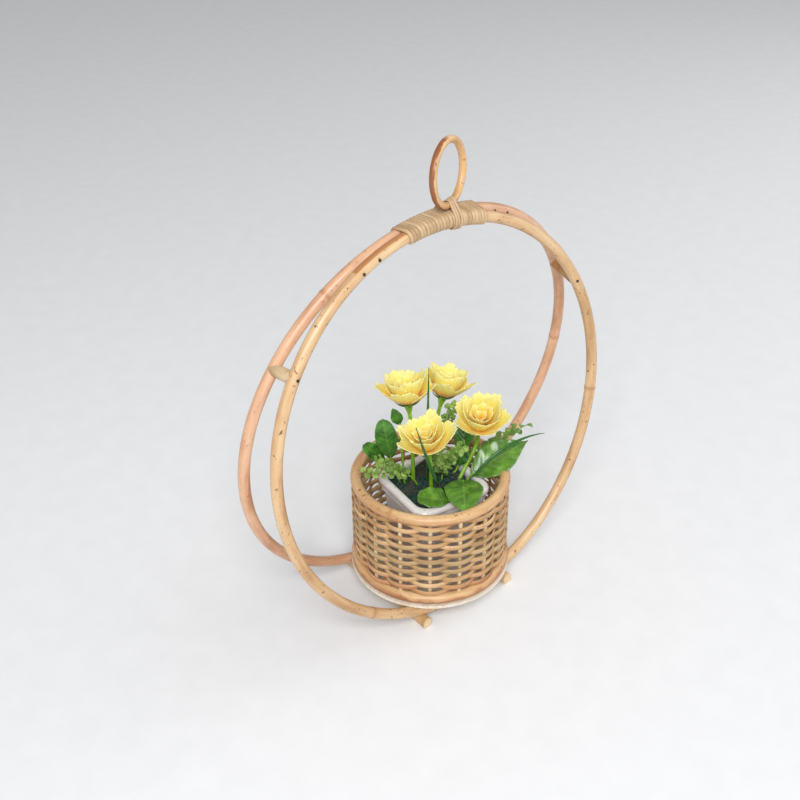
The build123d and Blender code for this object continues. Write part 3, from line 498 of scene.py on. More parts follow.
def new_piece(name, verts, faces, material, vectors=None):
    """A mesh piece with outward normals, and vector attributes where a pattern needs them."""
    mesh = bpy.data.meshes.new(name)
    mesh.from_pydata([tuple(v) for v in verts], [], faces)
    for label, values in (vectors or {}).items():
        data = mesh.attributes.new(label, "FLOAT_VECTOR", "POINT").data
        data.foreach_set("vector", np.array(values, dtype=np.float32).ravel())
    work = bmesh.new()
    work.from_mesh(mesh)
    bmesh.ops.recalc_face_normals(work, faces=work.faces)
    work.to_mesh(mesh)
    work.free()
    mesh.polygons.foreach_set("use_smooth", [True] * len(mesh.polygons))
    mesh.materials.append(material)
    piece = bpy.data.objects.new(name, mesh)
    bpy.context.scene.collection.objects.link(piece)
    print(name, "triangles:", sum(len(p.vertices) - 2 for p in mesh.polygons))
    return piece


# %% Binding and lashing
peel = cane_material("split_cane_strip", "#C0A27C", "#D0B793", "#A3835C", streak="#86643E", roughness=0.42,
                     coat=0.15, specks=0.15)
binding_reach = cane_radius + 0.1
binding_build = 2.2
binding = wound_strip("hoop_binding_strip", -11.0, 16.0, 24,
                      lambda s: [(s.flat(s.rear_point), binding_reach), (np.zeros(2), binding_reach)],
                      3.35, 1.75, peel)
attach(binding, "basket_stand")
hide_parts("hoop_binding")
ring_foot = ring_centre - ring_up * ring_radius
ring_top_angle = math.degrees(math.atan2(8.8 - front.centre[0], front.end_radius))


def lashed_ring(section):
    """The ring's foot and the bound hoops, as the circles that the lashing runs round."""
    offset = ((section.origin - ring_foot) @ section.along) / math.cos(ring_turn)
    offset = max(-6.0, min(6.0, offset))
    rise = ring_radius - math.sqrt(ring_radius**2 - offset**2)
    foot = ring_foot + ring_along * offset + ring_up * rise
    reach = ring_cane_radius / math.cos(ring_turn) + 0.3
    bound = cane_radius + binding_build
    return [(section.flat(foot), reach), (np.zeros(2), bound), (section.flat(section.rear_point), bound)]


lashing_turns, lashing_pitch = 3, 2.6
half = math.degrees(lashing_turns * lashing_pitch / front.end_radius) / 2
lashing = wound_strip("ring_lashing_strip", ring_top_angle - half, ring_top_angle + half, lashing_turns,
                      lashed_ring, 2.5, 1.2, peel, steps=64)
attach(lashing, "basket_stand")
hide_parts("ring_lashing")

# %% [markdown]
# ## The basket
# The wall is a plain weave: each row of flat cane passes in front of one stake and behind the next,
# and the next row does the opposite. That is a rule, so a Geometry Nodes tree makes it: one ring
# of points waves in and out once for every two stakes, every other row is turned by one stake, and
# a flat section is swept along each row. The strands are redder at the foot and greyer half way up.

# %% The weaving tree
basket_x = -5.35
weave_tree, given = new_tree("plain_weave", [
    ("Geometry", "Geometry"), ("Rows", "Int"), ("Stakes", "Int"), ("Radius", "Float"), ("Wave", "Float"),
    ("Row pitch", "Float"), ("Strip width", "Float"), ("Strip thickness", "Float"), ("Phase", "Float"),
    ("Looseness", "Float"), ("Material", "Material")])
ring = add(weave_tree, "GeometryNodeCurvePrimitiveCircle", {"Resolution": 256, "Radius": given["Radius"]})
step = add(weave_tree, "ShaderNodeCombineXYZ", {"Z": given["Row pitch"]})
rows = add(weave_tree, "GeometryNodeMeshLine", {"Count": given["Rows"], "Offset": step})
copies = add(weave_tree, "GeometryNodeInstanceOnPoints", {"Points": rows, "Instance": ring})
copies = add(weave_tree, "GeometryNodeRealizeInstances", {"Geometry": copies})
position = add(weave_tree, "GeometryNodeInputPosition")
place = add(weave_tree, "ShaderNodeSeparateXYZ", [position]).outputs
ratio = add(weave_tree, "ShaderNodeMath", [place["Z"], given["Row pitch"]], operation="DIVIDE")
row = add(weave_tree, "ShaderNodeMath", [ratio], operation="ROUND")
angle = add(weave_tree, "ShaderNodeMath", [place["Y"], place["X"]], operation="ARCTAN2")
beats = add(weave_tree, "ShaderNodeMath", [given["Stakes"], 2.0], operation="DIVIDE")
from_stake = add(weave_tree, "ShaderNodeMath", [angle, given["Phase"]], operation="SUBTRACT")
beat = add(weave_tree, "ShaderNodeMath", [from_stake, beats], operation="MULTIPLY")
# Every other row is turned by one stake.
shifted = add(weave_tree, "ShaderNodeMath", [row, math.pi, beat], operation="MULTIPLY_ADD")
beat = add(weave_tree, "ShaderNodeMath", [shifted], operation="COSINE")
# The wave is flatter over each stake than a cosine.
squared = add(weave_tree, "ShaderNodeMath", [beat, beat], operation="MULTIPLY")
amount = add(weave_tree, "ShaderNodeMath", [squared, 0.25], operation="MULTIPLY")
gain = add(weave_tree, "ShaderNodeMath", [1.25, amount], operation="SUBTRACT")
flatter = add(weave_tree, "ShaderNodeMath", [gain, beat], operation="MULTIPLY")
wander = {"Z": add(weave_tree, "ShaderNodeMath", [row, 7.3], operation="MULTIPLY")}
for way in ("X", "Y"):
    wander[way] = add(weave_tree, "ShaderNodeMath", [place[way], 60.0], operation="MULTIPLY")
wander = add(weave_tree, "ShaderNodeCombineXYZ", wander)
loose = add(weave_tree, "ShaderNodeTexNoise", {"Vector": wander, "Scale": 1.0, "Detail": 1.0})
centred = add(weave_tree, "ShaderNodeMath", [loose, 0.5], operation="SUBTRACT")
loose = add(weave_tree, "ShaderNodeMath", [centred, given["Looseness"]], operation="MULTIPLY")
sideways = add(weave_tree, "ShaderNodeMath", [loose, 0.3], operation="MULTIPLY")
weaving = add(weave_tree, "ShaderNodeMath", [flatter, given["Wave"], sideways], operation="MULTIPLY_ADD")
far = add(weave_tree, "ShaderNodeMath", [given["Radius"], weaving], operation="ADD")
where = {"Z": add(weave_tree, "ShaderNodeMath", [place["Z"], loose], operation="ADD")}
for way, wave in (("X", "COSINE"), ("Y", "SINE")):
    part = add(weave_tree, "ShaderNodeMath", [angle], operation=wave)
    where[way] = add(weave_tree, "ShaderNodeMath", [part, far], operation="MULTIPLY")
where = add(weave_tree, "ShaderNodeCombineXYZ", where)
strands = add(weave_tree, "GeometryNodeSetPosition", {"Geometry": copies, "Position": where})
spline = add(weave_tree, "GeometryNodeSplineParameter").outputs
strands = add(weave_tree, "GeometryNodeStoreNamedAttribute", {
    "Geometry": strands, "Name": "along", "Value": spline["Length"]})
strands = add(weave_tree, "GeometryNodeStoreNamedAttribute", {
    "Geometry": strands, "Name": "row", "Value": row})
strands = add(weave_tree, "GeometryNodeSetCurveNormal", {"Curve": strands}, mode="Z_UP")
profile = add(weave_tree, "GeometryNodeCurvePrimitiveCircle", {"Resolution": 12, "Radius": 0.5})
profile = add(weave_tree, "GeometryNodeStoreNamedAttribute", {
    "Geometry": profile, "Name": "turn", "Value": spline["Factor"]})
oval = add(weave_tree, "ShaderNodeSeparateXYZ", [position]).outputs
flat = {}
for way, size in (("X", "Strip thickness"), ("Y", "Strip width")):
    flat[way] = add(weave_tree, "ShaderNodeMath", [oval[way], given[size]], operation="MULTIPLY")
oval = add(weave_tree, "ShaderNodeCombineXYZ", flat)
profile = add(weave_tree, "GeometryNodeSetPosition", {"Geometry": profile, "Position": oval})
wall = add(weave_tree, "GeometryNodeCurveToMesh", {"Curve": strands, "Profile Curve": profile})
mark = add(weave_tree, "GeometryNodeInputNamedAttribute", {"Name": "turn"})
turn = add(weave_tree, "ShaderNodeMath", [mark, math.tau], operation="MULTIPLY")
straight = {"Z": add(weave_tree, "GeometryNodeInputNamedAttribute", {"Name": "along"})}
for way, wave in (("X", "COSINE"), ("Y", "SINE")):
    part = add(weave_tree, "ShaderNodeMath", [turn], operation=wave)
    straight[way] = add(weave_tree, "ShaderNodeMath", [part, 0.002], operation="MULTIPLY")
# Each row is a strand of its own, so its streaks start somewhere else.
mark = add(weave_tree, "GeometryNodeInputNamedAttribute", {"Name": "row"})
apart = add(weave_tree, "ShaderNodeMath", [mark, 0.037], operation="MULTIPLY")
straight["X"] = add(weave_tree, "ShaderNodeMath", [straight["X"], apart], operation="ADD")
grain = add(weave_tree, "ShaderNodeCombineXYZ", straight)
wall = add(weave_tree, "GeometryNodeStoreNamedAttribute", {
    "Geometry": wall, "Name": "grain", "Value": grain}, data_type="FLOAT_VECTOR")
end_tree(weave_tree, wall, given["Material"])
print("weave tree nodes:", len(weave_tree.nodes))

# %% Woven wall
def weathered(tree, place, colour):
    """Strands go redder towards the foot and greyer in the middle of the wall, unevenly."""
    height = add(tree, "ShaderNodeSeparateXYZ", [place]).outputs["Z"]
    noise = add(tree, "ShaderNodeTexNoise", {"Vector": place, "Scale": 38.0, "Detail": 3.0})
    centred = add(tree, "ShaderNodeMath", [noise, 0.5], operation="SUBTRACT")
    height = add(tree, "ShaderNodeMath", [centred, 0.05, height], operation="MULTIPLY_ADD")
    share = add(tree, "ShaderNodeMapRange", [
        height, 0.052, 0.034, 0.0, 0.5], interpolation_type="SMOOTHSTEP")
    colour = add(tree, "ShaderNodeMix", {0: share, 6: colour, 7: "#B2704A"}, data_type="RGBA")
    above = add(tree, "ShaderNodeMapRange", [height, 0.05, 0.062], interpolation_type="SMOOTHSTEP")
    below = add(tree, "ShaderNodeMapRange", [height, 0.088, 0.074], interpolation_type="SMOOTHSTEP")
    grey = add(tree, "ShaderNodeMath", [above, below], operation="MULTIPLY")
    amount = add(tree, "ShaderNodeMath", [grey, 0.4], operation="MULTIPLY")
    return add(tree, "ShaderNodeMix", {0: amount, 6: colour, 7: "#9E8A62"}, data_type="RGBA")


weaver = cane_material("woven_flat_cane", "#BF9768", "#D9B78A", "#94693F", streak="#6B452A", roughness=0.5,
                       coat=0.05, specks=0.5, stain_and_shade=weathered)
wall_bottom, wall_top, weave_rows, stake_count = 34.375, 107.75, 17, 16
pitch = (wall_top - wall_bottom) / weave_rows
start = chain("weave_start", [(0, 0, 0), (0, 0, mm)])
woven = run_tree("woven_wall_strands", weave_tree, start, {
    "Rows": weave_rows, "Stakes": stake_count, "Radius": 64.9 * mm, "Wave": 2.85 * mm,
    "Row pitch": pitch * mm, "Strip width": 4.7 * mm, "Strip thickness": 2.0 * mm,
    "Phase": math.radians(-130.5), "Looseness": 0.8 * mm, "Material": weaver})
woven.data.transform(Matrix.Translation((basket_x * mm, 0, (wall_bottom + pitch / 2) * mm)))
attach(woven, "basket_stand")
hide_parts("woven_wall")

# %% [markdown]
# ## Rim ring and foot ring
# Two closed rings of cane hold the stakes. The same tree sweeps them. Both are darker red-brown
# in patches on their lower side, and the foot ring has more of it.


# %% Rings of the basket
def red_brown_low_side(tree, place, colour):
    """Darker red-brown in patches: on the foot ring's lower side, and weaker under the rim ring's."""
    height = add(tree, "ShaderNodeSeparateXYZ", [place]).outputs["Z"]
    noise = add(tree, "ShaderNodeTexNoise", {"Vector": place, "Scale": 55.0, "Detail": 3.0})
    centred = add(tree, "ShaderNodeMath", [noise, 0.5], operation="SUBTRACT")
    height = add(tree, "ShaderNodeMath", [centred, 0.012, height], operation="MULTIPLY_ADD")
    low = add(tree, "ShaderNodeMapRange", [
        height, 0.0325, 0.0285, 0.0, 0.75], interpolation_type="SMOOTHSTEP")
    on_rim = add(tree, "ShaderNodeMath", [height, 0.09], operation="GREATER_THAN")
    under_rim = add(tree, "ShaderNodeMapRange", [
        height, 0.113, 0.11, 0.0, on_rim], interpolation_type="SMOOTHSTEP")
    colour = add(tree, "ShaderNodeMix", {0: low, 6: colour, 7: "#9A5A34"}, data_type="RGBA")
    amount = add(tree, "ShaderNodeMath", [under_rim, 0.6], operation="MULTIPLY")
    return add(tree, "ShaderNodeMix", {0: amount, 6: colour, 7: "#A9613A"}, data_type="RGBA")


ring_bands = {"rim_ring": (64.3, 112.6, (200,)), "foot_ring": (65.5, 29.525, (-40,))}
rim_cane = cane_material("basket_ring_cane", "#CDA373", "#DFBF8F", "#AB7E50", streak="#9A5A38", specks=0.8,
                         stain_and_shade=red_brown_low_side)
for name, (radius, height, bands) in ring_bands.items():
    angles = np.arange(0, 360, 1.5)
    points = []
    for a in np.radians(angles):
        points.append(((basket_x + radius * math.cos(a)) * mm, radius * math.sin(a) * mm, height * mm))
    knots = leaf_bands(angles, bands, 1.2)
    piece = swept_cane(name + "_cane", points, cane_radius, rim_cane, knots=knots, uneven=0.2)
    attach(piece, "basket_stand")
    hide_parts(name)

# %% [markdown]
# ## Plain sticks, board, nails and pot
# These pieces keep their CAD shapes. A straight stick's grain runs along one axis, so Object
# coordinates are enough: squeezed across the stick and stretched along it.


# %% Stick, board and nail materials
# The grain's width and length and the pores of the sawn ends, in metres.
stick_grain, stick_grain_length, pore_size = 0.0009, 0.025, 0.0007


def stick_material(name, base, pale, dark, axis, end=None):
    """A peeled stick: matt, with grain along one axis and a paler sawn end."""
    material, tree, place = new_material(name)
    scale = [1 / stick_grain] * 3
    scale[axis] = 1 / stick_grain_length
    stretched = add(tree, "ShaderNodeMapping", {"Vector": place, "Scale": tuple(scale)})
    fibres = add(tree, "ShaderNodeTexNoise", {"Vector": stretched, "Scale": 1.0, "Detail": 3.0})
    cloud = add(tree, "ShaderNodeTexNoise", {"Vector": place, "Scale": 60.0, "Detail": 3.0})
    colour = add(tree, "ShaderNodeValToRGB", [cloud], stops=[(0.35, dark), (0.5, base), (0.68, pale)])
    share = add(tree, "ShaderNodeMapRange", [
        fibres, 0.55, 0.75, 0.0, 0.35], interpolation_type="SMOOTHSTEP")
    colour = add(tree, "ShaderNodeMix", {0: share, 6: colour, 7: "#7E5630"}, data_type="RGBA")
    if end:
        normal = add(tree, "ShaderNodeTexCoord").outputs["Normal"]
        facing = add(tree, "ShaderNodeSeparateXYZ", [normal]).outputs[axis]
        pores = add(tree, "ShaderNodeTexNoise", {"Vector": place, "Scale": 1 / pore_size})
        share = add(tree, "ShaderNodeMapRange", [pores, 0.55, 0.7], interpolation_type="SMOOTHSTEP")
        face = add(tree, "ShaderNodeMix", {0: share, 6: end, 7: dark}, data_type="RGBA")
        amount = add(tree, "ShaderNodeMath", [facing], operation="ABSOLUTE")
        share = add(tree, "ShaderNodeMapRange", [amount, 0.85, 0.95], interpolation_type="SMOOTHSTEP")
        colour = add(tree, "ShaderNodeMix", {0: share, 6: colour, 7: face}, data_type="RGBA")
    surface(tree, colour, 0.6, fibres, 0.00015)
    return material


board_wood, tree, place = new_material("thin_plywood_board")
stretched = add(tree, "ShaderNodeMapping", {"Vector": place, "Scale": (1 / 0.03, 1 / 0.0012, 1 / 0.0009)})
fibres = add(tree, "ShaderNodeTexNoise", {"Vector": stretched, "Scale": 1.0, "Detail": 3.0})
colour = add(tree, "ShaderNodeValToRGB", [fibres], stops=[(0.3, "#CDBDA2"), (0.55, "#E4DACA"), (
    0.8, "#EFE8DC")])
surface(tree, colour, 0.7, fibres, 0.0001)

nail_steel, tree, place = new_material("bright_steel_nail")
dull = add(tree, "ShaderNodeTexNoise", {"Vector": place, "Scale": 900.0})
colour = add(tree, "ShaderNodeValToRGB", [dull], stops=[(0.35, "#3A2E26"), (0.65, "#6A6058")])
total = add(tree, "ShaderNodeMath", [dull, 0.3, 0.3], operation="MULTIPLY_ADD")
surface(tree, colour, total, Metallic=1.0)

stake_wood = stick_material("round_core_stake", "#D6BC94", "#E6D2B0", "#B99A6C", 2)
bar_wood = stick_material("cross_bar_stick", "#CFAB7C", "#DDBF94", "#B08A5A", 1, "#E2C9A0")
left_peg = stick_material("left_peg_stick", "#C2A680", "#D6BE9A", "#A58660", 1, "#D8C4A0")
right_peg = stick_material("right_peg_stick", "#B98550", "#CB9A66", "#96653A", 1, "#DDBB8C")
print("stick, board and nail finishes ready")

# %% [markdown]
# ## The glazed pot
# A white glaze is smooth and bright, with a few black specks of iron burnt through it. The glaze
# itself is a clear layer over white clay, so the shader has a coat, and the specks lie under it.

# %% Pot glaze, foam
glaze, tree, place = new_material("white_speckled_glaze")
grit = add(tree, "ShaderNodeTexNoise", {"Vector": place, "Scale": 1 / 0.0016, "Detail": 2.0})
patch = add(tree, "ShaderNodeTexNoise", {"Vector": place, "Scale": 70.0})
tone = add(tree, "ShaderNodeTexNoise", {"Vector": place, "Scale": 30.0})
colour = add(tree, "ShaderNodeValToRGB", [tone], stops=[(0.3, "#D2CDCB"), (0.6, "#E0DCDA")])
specks = add(tree, "ShaderNodeMapRange", [grit, 0.66, 0.7], interpolation_type="SMOOTHSTEP")
crowded = add(tree, "ShaderNodeMapRange", [patch, 0.48, 0.6], interpolation_type="SMOOTHSTEP")
specks = add(tree, "ShaderNodeMath", [specks, crowded], operation="MULTIPLY")
colour = add(tree, "ShaderNodeMix", {0: specks, 6: colour, 7: "#2E2A28"}, data_type="RGBA")
surface(tree, colour, 0.32, tone, 0.0002, Coat_Weight=0.5, Coat_Roughness=0.12)

foam_green, tree, place = new_material("green_floral_foam")
cells = add(tree, "ShaderNodeTexVoronoi", {"Vector": place, "Scale": 1 / 0.0008}).outputs["Distance"]
colour = add(tree, "ShaderNodeValToRGB", [cells], stops=[(0.1, "#234A32"), (0.7, "#3C7350")])
surface(tree, colour, 0.9, cells, 0.0003)
print("pot finishes:", glaze.name, foam_green.name)

# %% [markdown]
# ## Leaves, grass and sprigs
# Artificial leaves are printed cloth: a thin sheet with a pressed midrib and side veins, in a green
# that is darker along the veins. A leaf is a grid of points: along its length it follows a bowed
# line, and across it folds at the midrib and waves at the edge. Solidify gives it its thickness.


# %% Plant materials
# Side veins on each half of a leaf, and how far they slant towards the tip.
vein_pairs, vein_slant = 8, 0.22
leaf_thread = 0.0006


def leaf_material(name, base, pale, dark, roughness=0.38, vein="#9DBF66", coat=0.2):
    """Pressed cloth leaf: green print, veins in relief, a waxy shine."""
    material, tree, place = new_material(name)
    marks = add(tree, "ShaderNodeAttribute", attribute_name="leaf").outputs["Vector"]
    leaf = add(tree, "ShaderNodeSeparateXYZ", [marks]).outputs
    side = add(tree, "ShaderNodeMath", [leaf["X"]], operation="ABSOLUTE")
    midrib = add(tree, "ShaderNodeMapRange", [side, 0.09, 0.02], interpolation_type="SMOOTHSTEP")
    amount = add(tree, "ShaderNodeMath", [side, vein_slant], operation="MULTIPLY")
    slant = add(tree, "ShaderNodeMath", [leaf["Y"], amount], operation="SUBTRACT")
    beat = add(tree, "ShaderNodeMath", [slant, math.pi * vein_pairs], operation="MULTIPLY")
    sine = add(tree, "ShaderNodeMath", [beat], operation="SINE")
    wave = add(tree, "ShaderNodeMath", [sine], operation="ABSOLUTE")
    veins = add(tree, "ShaderNodeMapRange", [wave, 0.2, 0.02, 0.0, 0.55], interpolation_type="SMOOTHSTEP")
    lines = add(tree, "ShaderNodeMath", [midrib, veins], operation="MAXIMUM")
    cloud = add(tree, "ShaderNodeTexNoise", {"Vector": place, "Scale": 140.0, "Detail": 3.0})
    weave = add(tree, "ShaderNodeTexNoise", {"Vector": place, "Scale": 1 / leaf_thread})
    colour = add(tree, "ShaderNodeValToRGB", [cloud], stops=[(0.3, dark), (0.5, base), (0.7, pale)])
    amount = add(tree, "ShaderNodeMath", [lines, 0.22], operation="MULTIPLY")
    colour = add(tree, "ShaderNodeMix", {0: amount, 6: colour, 7: vein}, data_type="RGBA")
    share = add(tree, "ShaderNodeMapRange", [
        leaf["Y"], 0.4, 0.0, 0.0, 0.6], interpolation_type="SMOOTHSTEP")
    colour = add(tree, "ShaderNodeMix", {0: share, 6: colour, 7: dark}, data_type="RGBA")
    edge = add(tree, "ShaderNodeMapRange", [side, 0.86, 1.0], interpolation_type="SMOOTHSTEP")
    amount = add(tree, "ShaderNodeMath", [edge, 0.3], operation="MULTIPLY")
    colour = add(tree, "ShaderNodeMix", {0: amount, 6: colour, 7: pale}, data_type="RGBA")
    amount = add(tree, "ShaderNodeMath", [wave, 0.8], operation="MULTIPLY")
    height = add(tree, "ShaderNodeMath", [weave, 0.15, amount], operation="MULTIPLY_ADD")
    surface(tree, colour, roughness, height, 0.00022, Coat_Weight=coat, Coat_Roughness=0.2)
    return material


def waxy(name, base, dark, roughness=0.4):
    """Moulded soft plastic of stems and grass: even green with darker streaks."""
    material, tree, place = new_material(name)
    stretched = add(tree, "ShaderNodeMapping", {"Vector": place, "Scale": (1 / 0.001, 1 / 0.001, 1 / 0.01)})
    streaks = add(tree, "ShaderNodeTexNoise", {"Vector": stretched, "Scale": 1.0})
    colour = add(tree, "ShaderNodeValToRGB", [streaks], stops=[(0.3, dark), (0.6, base)])
    surface(tree, colour, roughness, streaks, 0.0001)
    return material


bright_leaf = leaf_material("pressed_cloth_leaf_bright", "#4E7E1F", "#689830", "#386216", coat=0.5)
deep_leaf = leaf_material("pressed_cloth_leaf_deep", "#38701E", "#4C852A", "#275414")
sprig_green = leaf_material("moulded_sprig_green", "#7A9C44", "#A9C566", "#486A2A", 0.5, "#B4CF7C", 0.05)
grass_green = waxy("grass_blade_plastic", "#2E6B26", "#1C501E")
stem_green = waxy("flower_stem_plastic", "#86B52C", "#65961E", 0.36)
print("leaf, sprig, grass and stem finishes ready")

# %% Places in the arrangement
pot_y = -4.0
moss_top = np.array([basket_x, pot_y, 106.075])
arrangement_height, moss_width = 125.0, 58.84


def arranged(shares):
    """A place from the middle of the moss, in shares of the arrangement's height."""
    return moss_top + np.array(shares, dtype=float) * arrangement_height


def rooted(shares):
    """A place on the moss, in shares of its width."""
    return moss_top + np.array([shares[0], shares[1], 0.0]) * moss_width


def unit(vector):
    vector = np.array(vector, dtype=float)
    return vector / np.linalg.norm(vector)


def smooth_path(points, count):
    """A smooth path through a few points, as points evenly spread by number (Catmull-Rom)."""
    points = [np.array(p, dtype=float) for p in points]
    points = [points[0] * 2 - points[1]] + points + [points[-1] * 2 - points[-2]]
    made = []
    for i in range(1, len(points) - 2):
        for t in np.linspace(0, 1, count, endpoint=False):
            a, b, c, d = points[i - 1:i + 3]
            made.append(0.5 * (2 * b + (c - a) * t + (2 * a - 5 * b + 4 * c - d) * t**2
                               + (3 * b - a - 3 * c + d) * t**3))
    return made + [points[-2]]


def tube(points, radii, sides=8):
    """Rings of points round a path, and the faces between them, closed at both ends."""
    points = np.array(points)
    tangents = np.gradient(points, axis=0)
    verts, faces = [], []
    side = np.cross(tangents[0], (0.31, 0.87, 0.39))
    for index, (point, tangent) in enumerate(zip(points, tangents)):
        tangent = unit(tangent)
        side = unit(side - tangent * (side @ tangent))
        other = np.cross(tangent, side)
        for k in range(sides):
            a = math.tau * k / sides
            out = side * math.cos(a) + other * math.sin(a)
            verts.append(point + out * radii[min(index, len(radii) - 1)])
    for index in range(len(points) - 1):
        for k in range(sides):
            a, b = index * sides + k, index * sides + (k + 1) % sides
            faces.append((a, b, b + sides, a + sides))
    faces.append(tuple(reversed(range(sides))))
    faces.append(tuple((len(points) - 1) * sides + k for k in range(sides)))
    return verts, faces


print("moss top at", moss_top.round(2), "mm")


# %% Leaf blades
def outline_share(t, fullest, tip):
    """A leaf's half width along its length, as a share; a larger tip value makes it more pointed."""
    t = min(max(t, 0.0), 1.0)
    rise = math.sin(math.pi / 2 * min(1, t / fullest)) ** 0.75
    fall = math.cos(math.pi / 2 * max(0, (t - fullest) / (1 - fullest))) ** tip
    return max(rise * fall, 0.02)


def blade_points(base, tip, width, bow, facing, rows, columns, fullest=0.42, sharp=0.9, fold=0.16,
                 wave=0.03, waves=3):
    """The grid of a leaf in millimetres, and where each point is on the leaf, across and along."""
    base, tip = np.array(base, dtype=float), np.array(tip, dtype=float)
    run = tip - base
    length = np.linalg.norm(run)
    side = unit(np.cross(run, facing))
    face = np.cross(side, unit(run))
    grid, marks = [], []
    for i in range(rows + 1):
        t = i / rows
        middle = base + run * t + face * (4 * bow * length * t * (1 - t))
        half = width / 2 * outline_share(t, fullest, sharp)
        for j in range(columns + 1):
            u = j / columns * 2 - 1
            rise = fold * half * abs(u) ** 1.3
            rise += wave * length * u * u * math.sin(waves * math.tau * t + (1.3 if u > 0 else 0))
            vein = math.cos(math.tau * vein_pairs * (t - abs(u) * vein_slant))
            rise -= 0.006 * length * vein * (1 - abs(u)) * min(1, abs(u) * 4)
            grid.append(middle + side * u * half + face * rise)
            marks.append((u, t, 0))
    return grid, marks


def grid_faces(rows, columns, start=0):
    """The faces of a grid of points, counted row by row from start."""
    across = columns + 1
    return [(start + i * across + j, start + i * across + j + 1, start + (i + 1) * across + j + 1,
             start + (i + 1) * across + j) for i in range(rows) for j in range(columns)]


def thickened(piece, thickness):
    """Give a sheet its thickness, in millimetres, as real faces."""
    solid = piece.modifiers.new("thickness", "SOLIDIFY")
    solid.thickness = thickness * mm
    solid.offset = 0
    graph = bpy.context.evaluated_depsgraph_get()
    mesh = bpy.data.meshes.new_from_object(piece.evaluated_get(graph), depsgraph=graph)
    piece.modifiers.clear()
    piece.data = mesh


def joined(parts):
    """Several lists of points, faces and marks as one."""
    verts, faces, marks = [], [], []
    for v, f, m in parts:
        faces += [tuple(i + len(verts) for i in face) for face in f]
        verts += list(v)
        marks += list(m)
    return verts, faces, marks


leaf_thickness, root_depth, widest_grass = 0.5, 5, 5


def leaf_piece(name, root, base, tip, width, bow, facing, material, rows=36, columns=16, stalk=0.9,
               **shape):
    """A leaf with its stalk down into the moss, standing for its CAD node."""
    grid, marks = blade_points(arranged(base), arranged(tip), width, bow, facing, rows, columns, **shape)
    sheet = new_piece(name + "_blade", [p * mm for p in grid], grid_faces(rows, columns), material,
                      {"leaf": marks})
    thickened(sheet, leaf_thickness)
    foot, first = rooted(root), grid[columns // 2]
    second = grid[columns // 2 + (columns + 1) * 3]
    bend = foot * 0.4 + first * 0.6 + np.array([0, 0, -2.0])
    way = smooth_path([foot - (0, 0, root_depth), foot, bend, first, second], 8)
    verts, faces = tube([p * mm for p in way], [stalk * mm] * (len(way) - 6) + [stalk * mm * 0.7] * 6)
    is_leaf = width > widest_grass
    rod = new_piece(name + "_stalk", verts, faces, stem_green if is_leaf else grass_green)
    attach(sheet, "flower_pot")
    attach(rod, "flower_pot")
    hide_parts(name)


print("leaf cloth is", leaf_thickness, "mm thick, and grass is up to", widest_grass, "mm wide")

# %% [markdown]
# Each leaf is one line of a table: its root, base and tip as shares, its width in millimetres, how
# far it bows, the way it faces, its cloth and its shape.

# %% Leaves and grass
leaves = {
    "left_leaf": ((-0.368, 0.323), (-0.213, 0.196, 0.199), (-0.277, 0.196, 0.543), 19, 0.046,
                  (-0.6, -0.7, 0.3), deep_leaf, dict(fullest=0.55, sharp=0.4, wave=0.01)),
    "outer_left_leaf": ((-0.368, 0.45), (-0.227, 0.256, 0.154), (-0.403, 0.256, 0.359), 14, 0.059,
                        (-0.5, -0.6, 0.8), deep_leaf, dict(fullest=0.55, sharp=0.42)),
    "heart_leaf": ((0.261, -0.246), (0.125, -0.165, 0.05), (-0.094, -0.428, 0.047), 33, 0.1, (0, 0, 1),
                   bright_leaf, dict(fullest=0.45, sharp=0.6, wave=0.015, waves=2, fold=0.14)),
    "flat_leaf": ((-0.045, -0.391), (-0.08, -0.275, 0.04), (-0.23, -0.105, 0.05), 21, 0.024,
                  (-0.2, -0.2, 1), bright_leaf, dict(fullest=0.5, sharp=0.35)),
    "right_leaf": ((0.422, -0.272), (0.219, -0.144, 0.039), (0.655, -0.25, 0.19), 31, 0.07,
                   (-0.35, -0.55, 1), bright_leaf, dict(fullest=0.42, sharp=1.25, wave=0.02, waves=4)),
    "middle_leaf": ((0.363, 0.102), (0.283, 0.06, 0.107), (0.408, 0.072, 0.306), 18, 0.05,
                    (-0.6, -0.5, 0.6), deep_leaf, dict(fullest=0.55, sharp=0.4, wave=0.01)),
    "shaded_leaf": ((0.346, -0.017), (0.211, -0.016, 0.047), (0.263, -0.024, 0.199), 13, 0.05,
                    (-0.6, -0.7, 0.3), deep_leaf, dict(fullest=0.5, sharp=0.5)),
    "small_leaf": ((-0.351, 0.229), (-0.197, 0.116, 0.511), (-0.253, 0.12, 0.655), 10, 0.078,
                   (-0.5, -0.7, 0.4), deep_leaf, dict(fullest=0.5, sharp=0.8)),
}
for name, (root, base, tip, width, bow, facing, material, shape) in leaves.items():
    leaf_piece(name, root, base, tip, width, bow, facing, material, **shape)

grass = {
    "tall_grass_blade": ((-0.037, 0.102), (-0.02, 0.048, 0.047), (-0.085, -0.048, 0.979), 2.2, 0.032,
                         (0.6, 0.7, -0.3)),
    "front_grass_blade": ((-0.062, -0.255), (-0.053, -0.116, 0.067), (-0.474, -0.384, 0.859), 3.0, 0.034,
                          (-0.6, -0.8, 0)),
    "right_grass_blade": ((0.346, -0.357), (0.175, -0.18, 0.039), (0.779, -0.288, 0.219), 3.2, 0.2,
                          (-0.2, -0.3, 1)),
}
for name, (root, base, tip, width, bow, facing) in grass.items():
    leaf_piece(name, root, base, tip, width, bow, facing, grass_green, columns=4, rows=40, fullest=0.3,
               sharp=0.8, fold=0.5, wave=0.0, stalk=0.7)

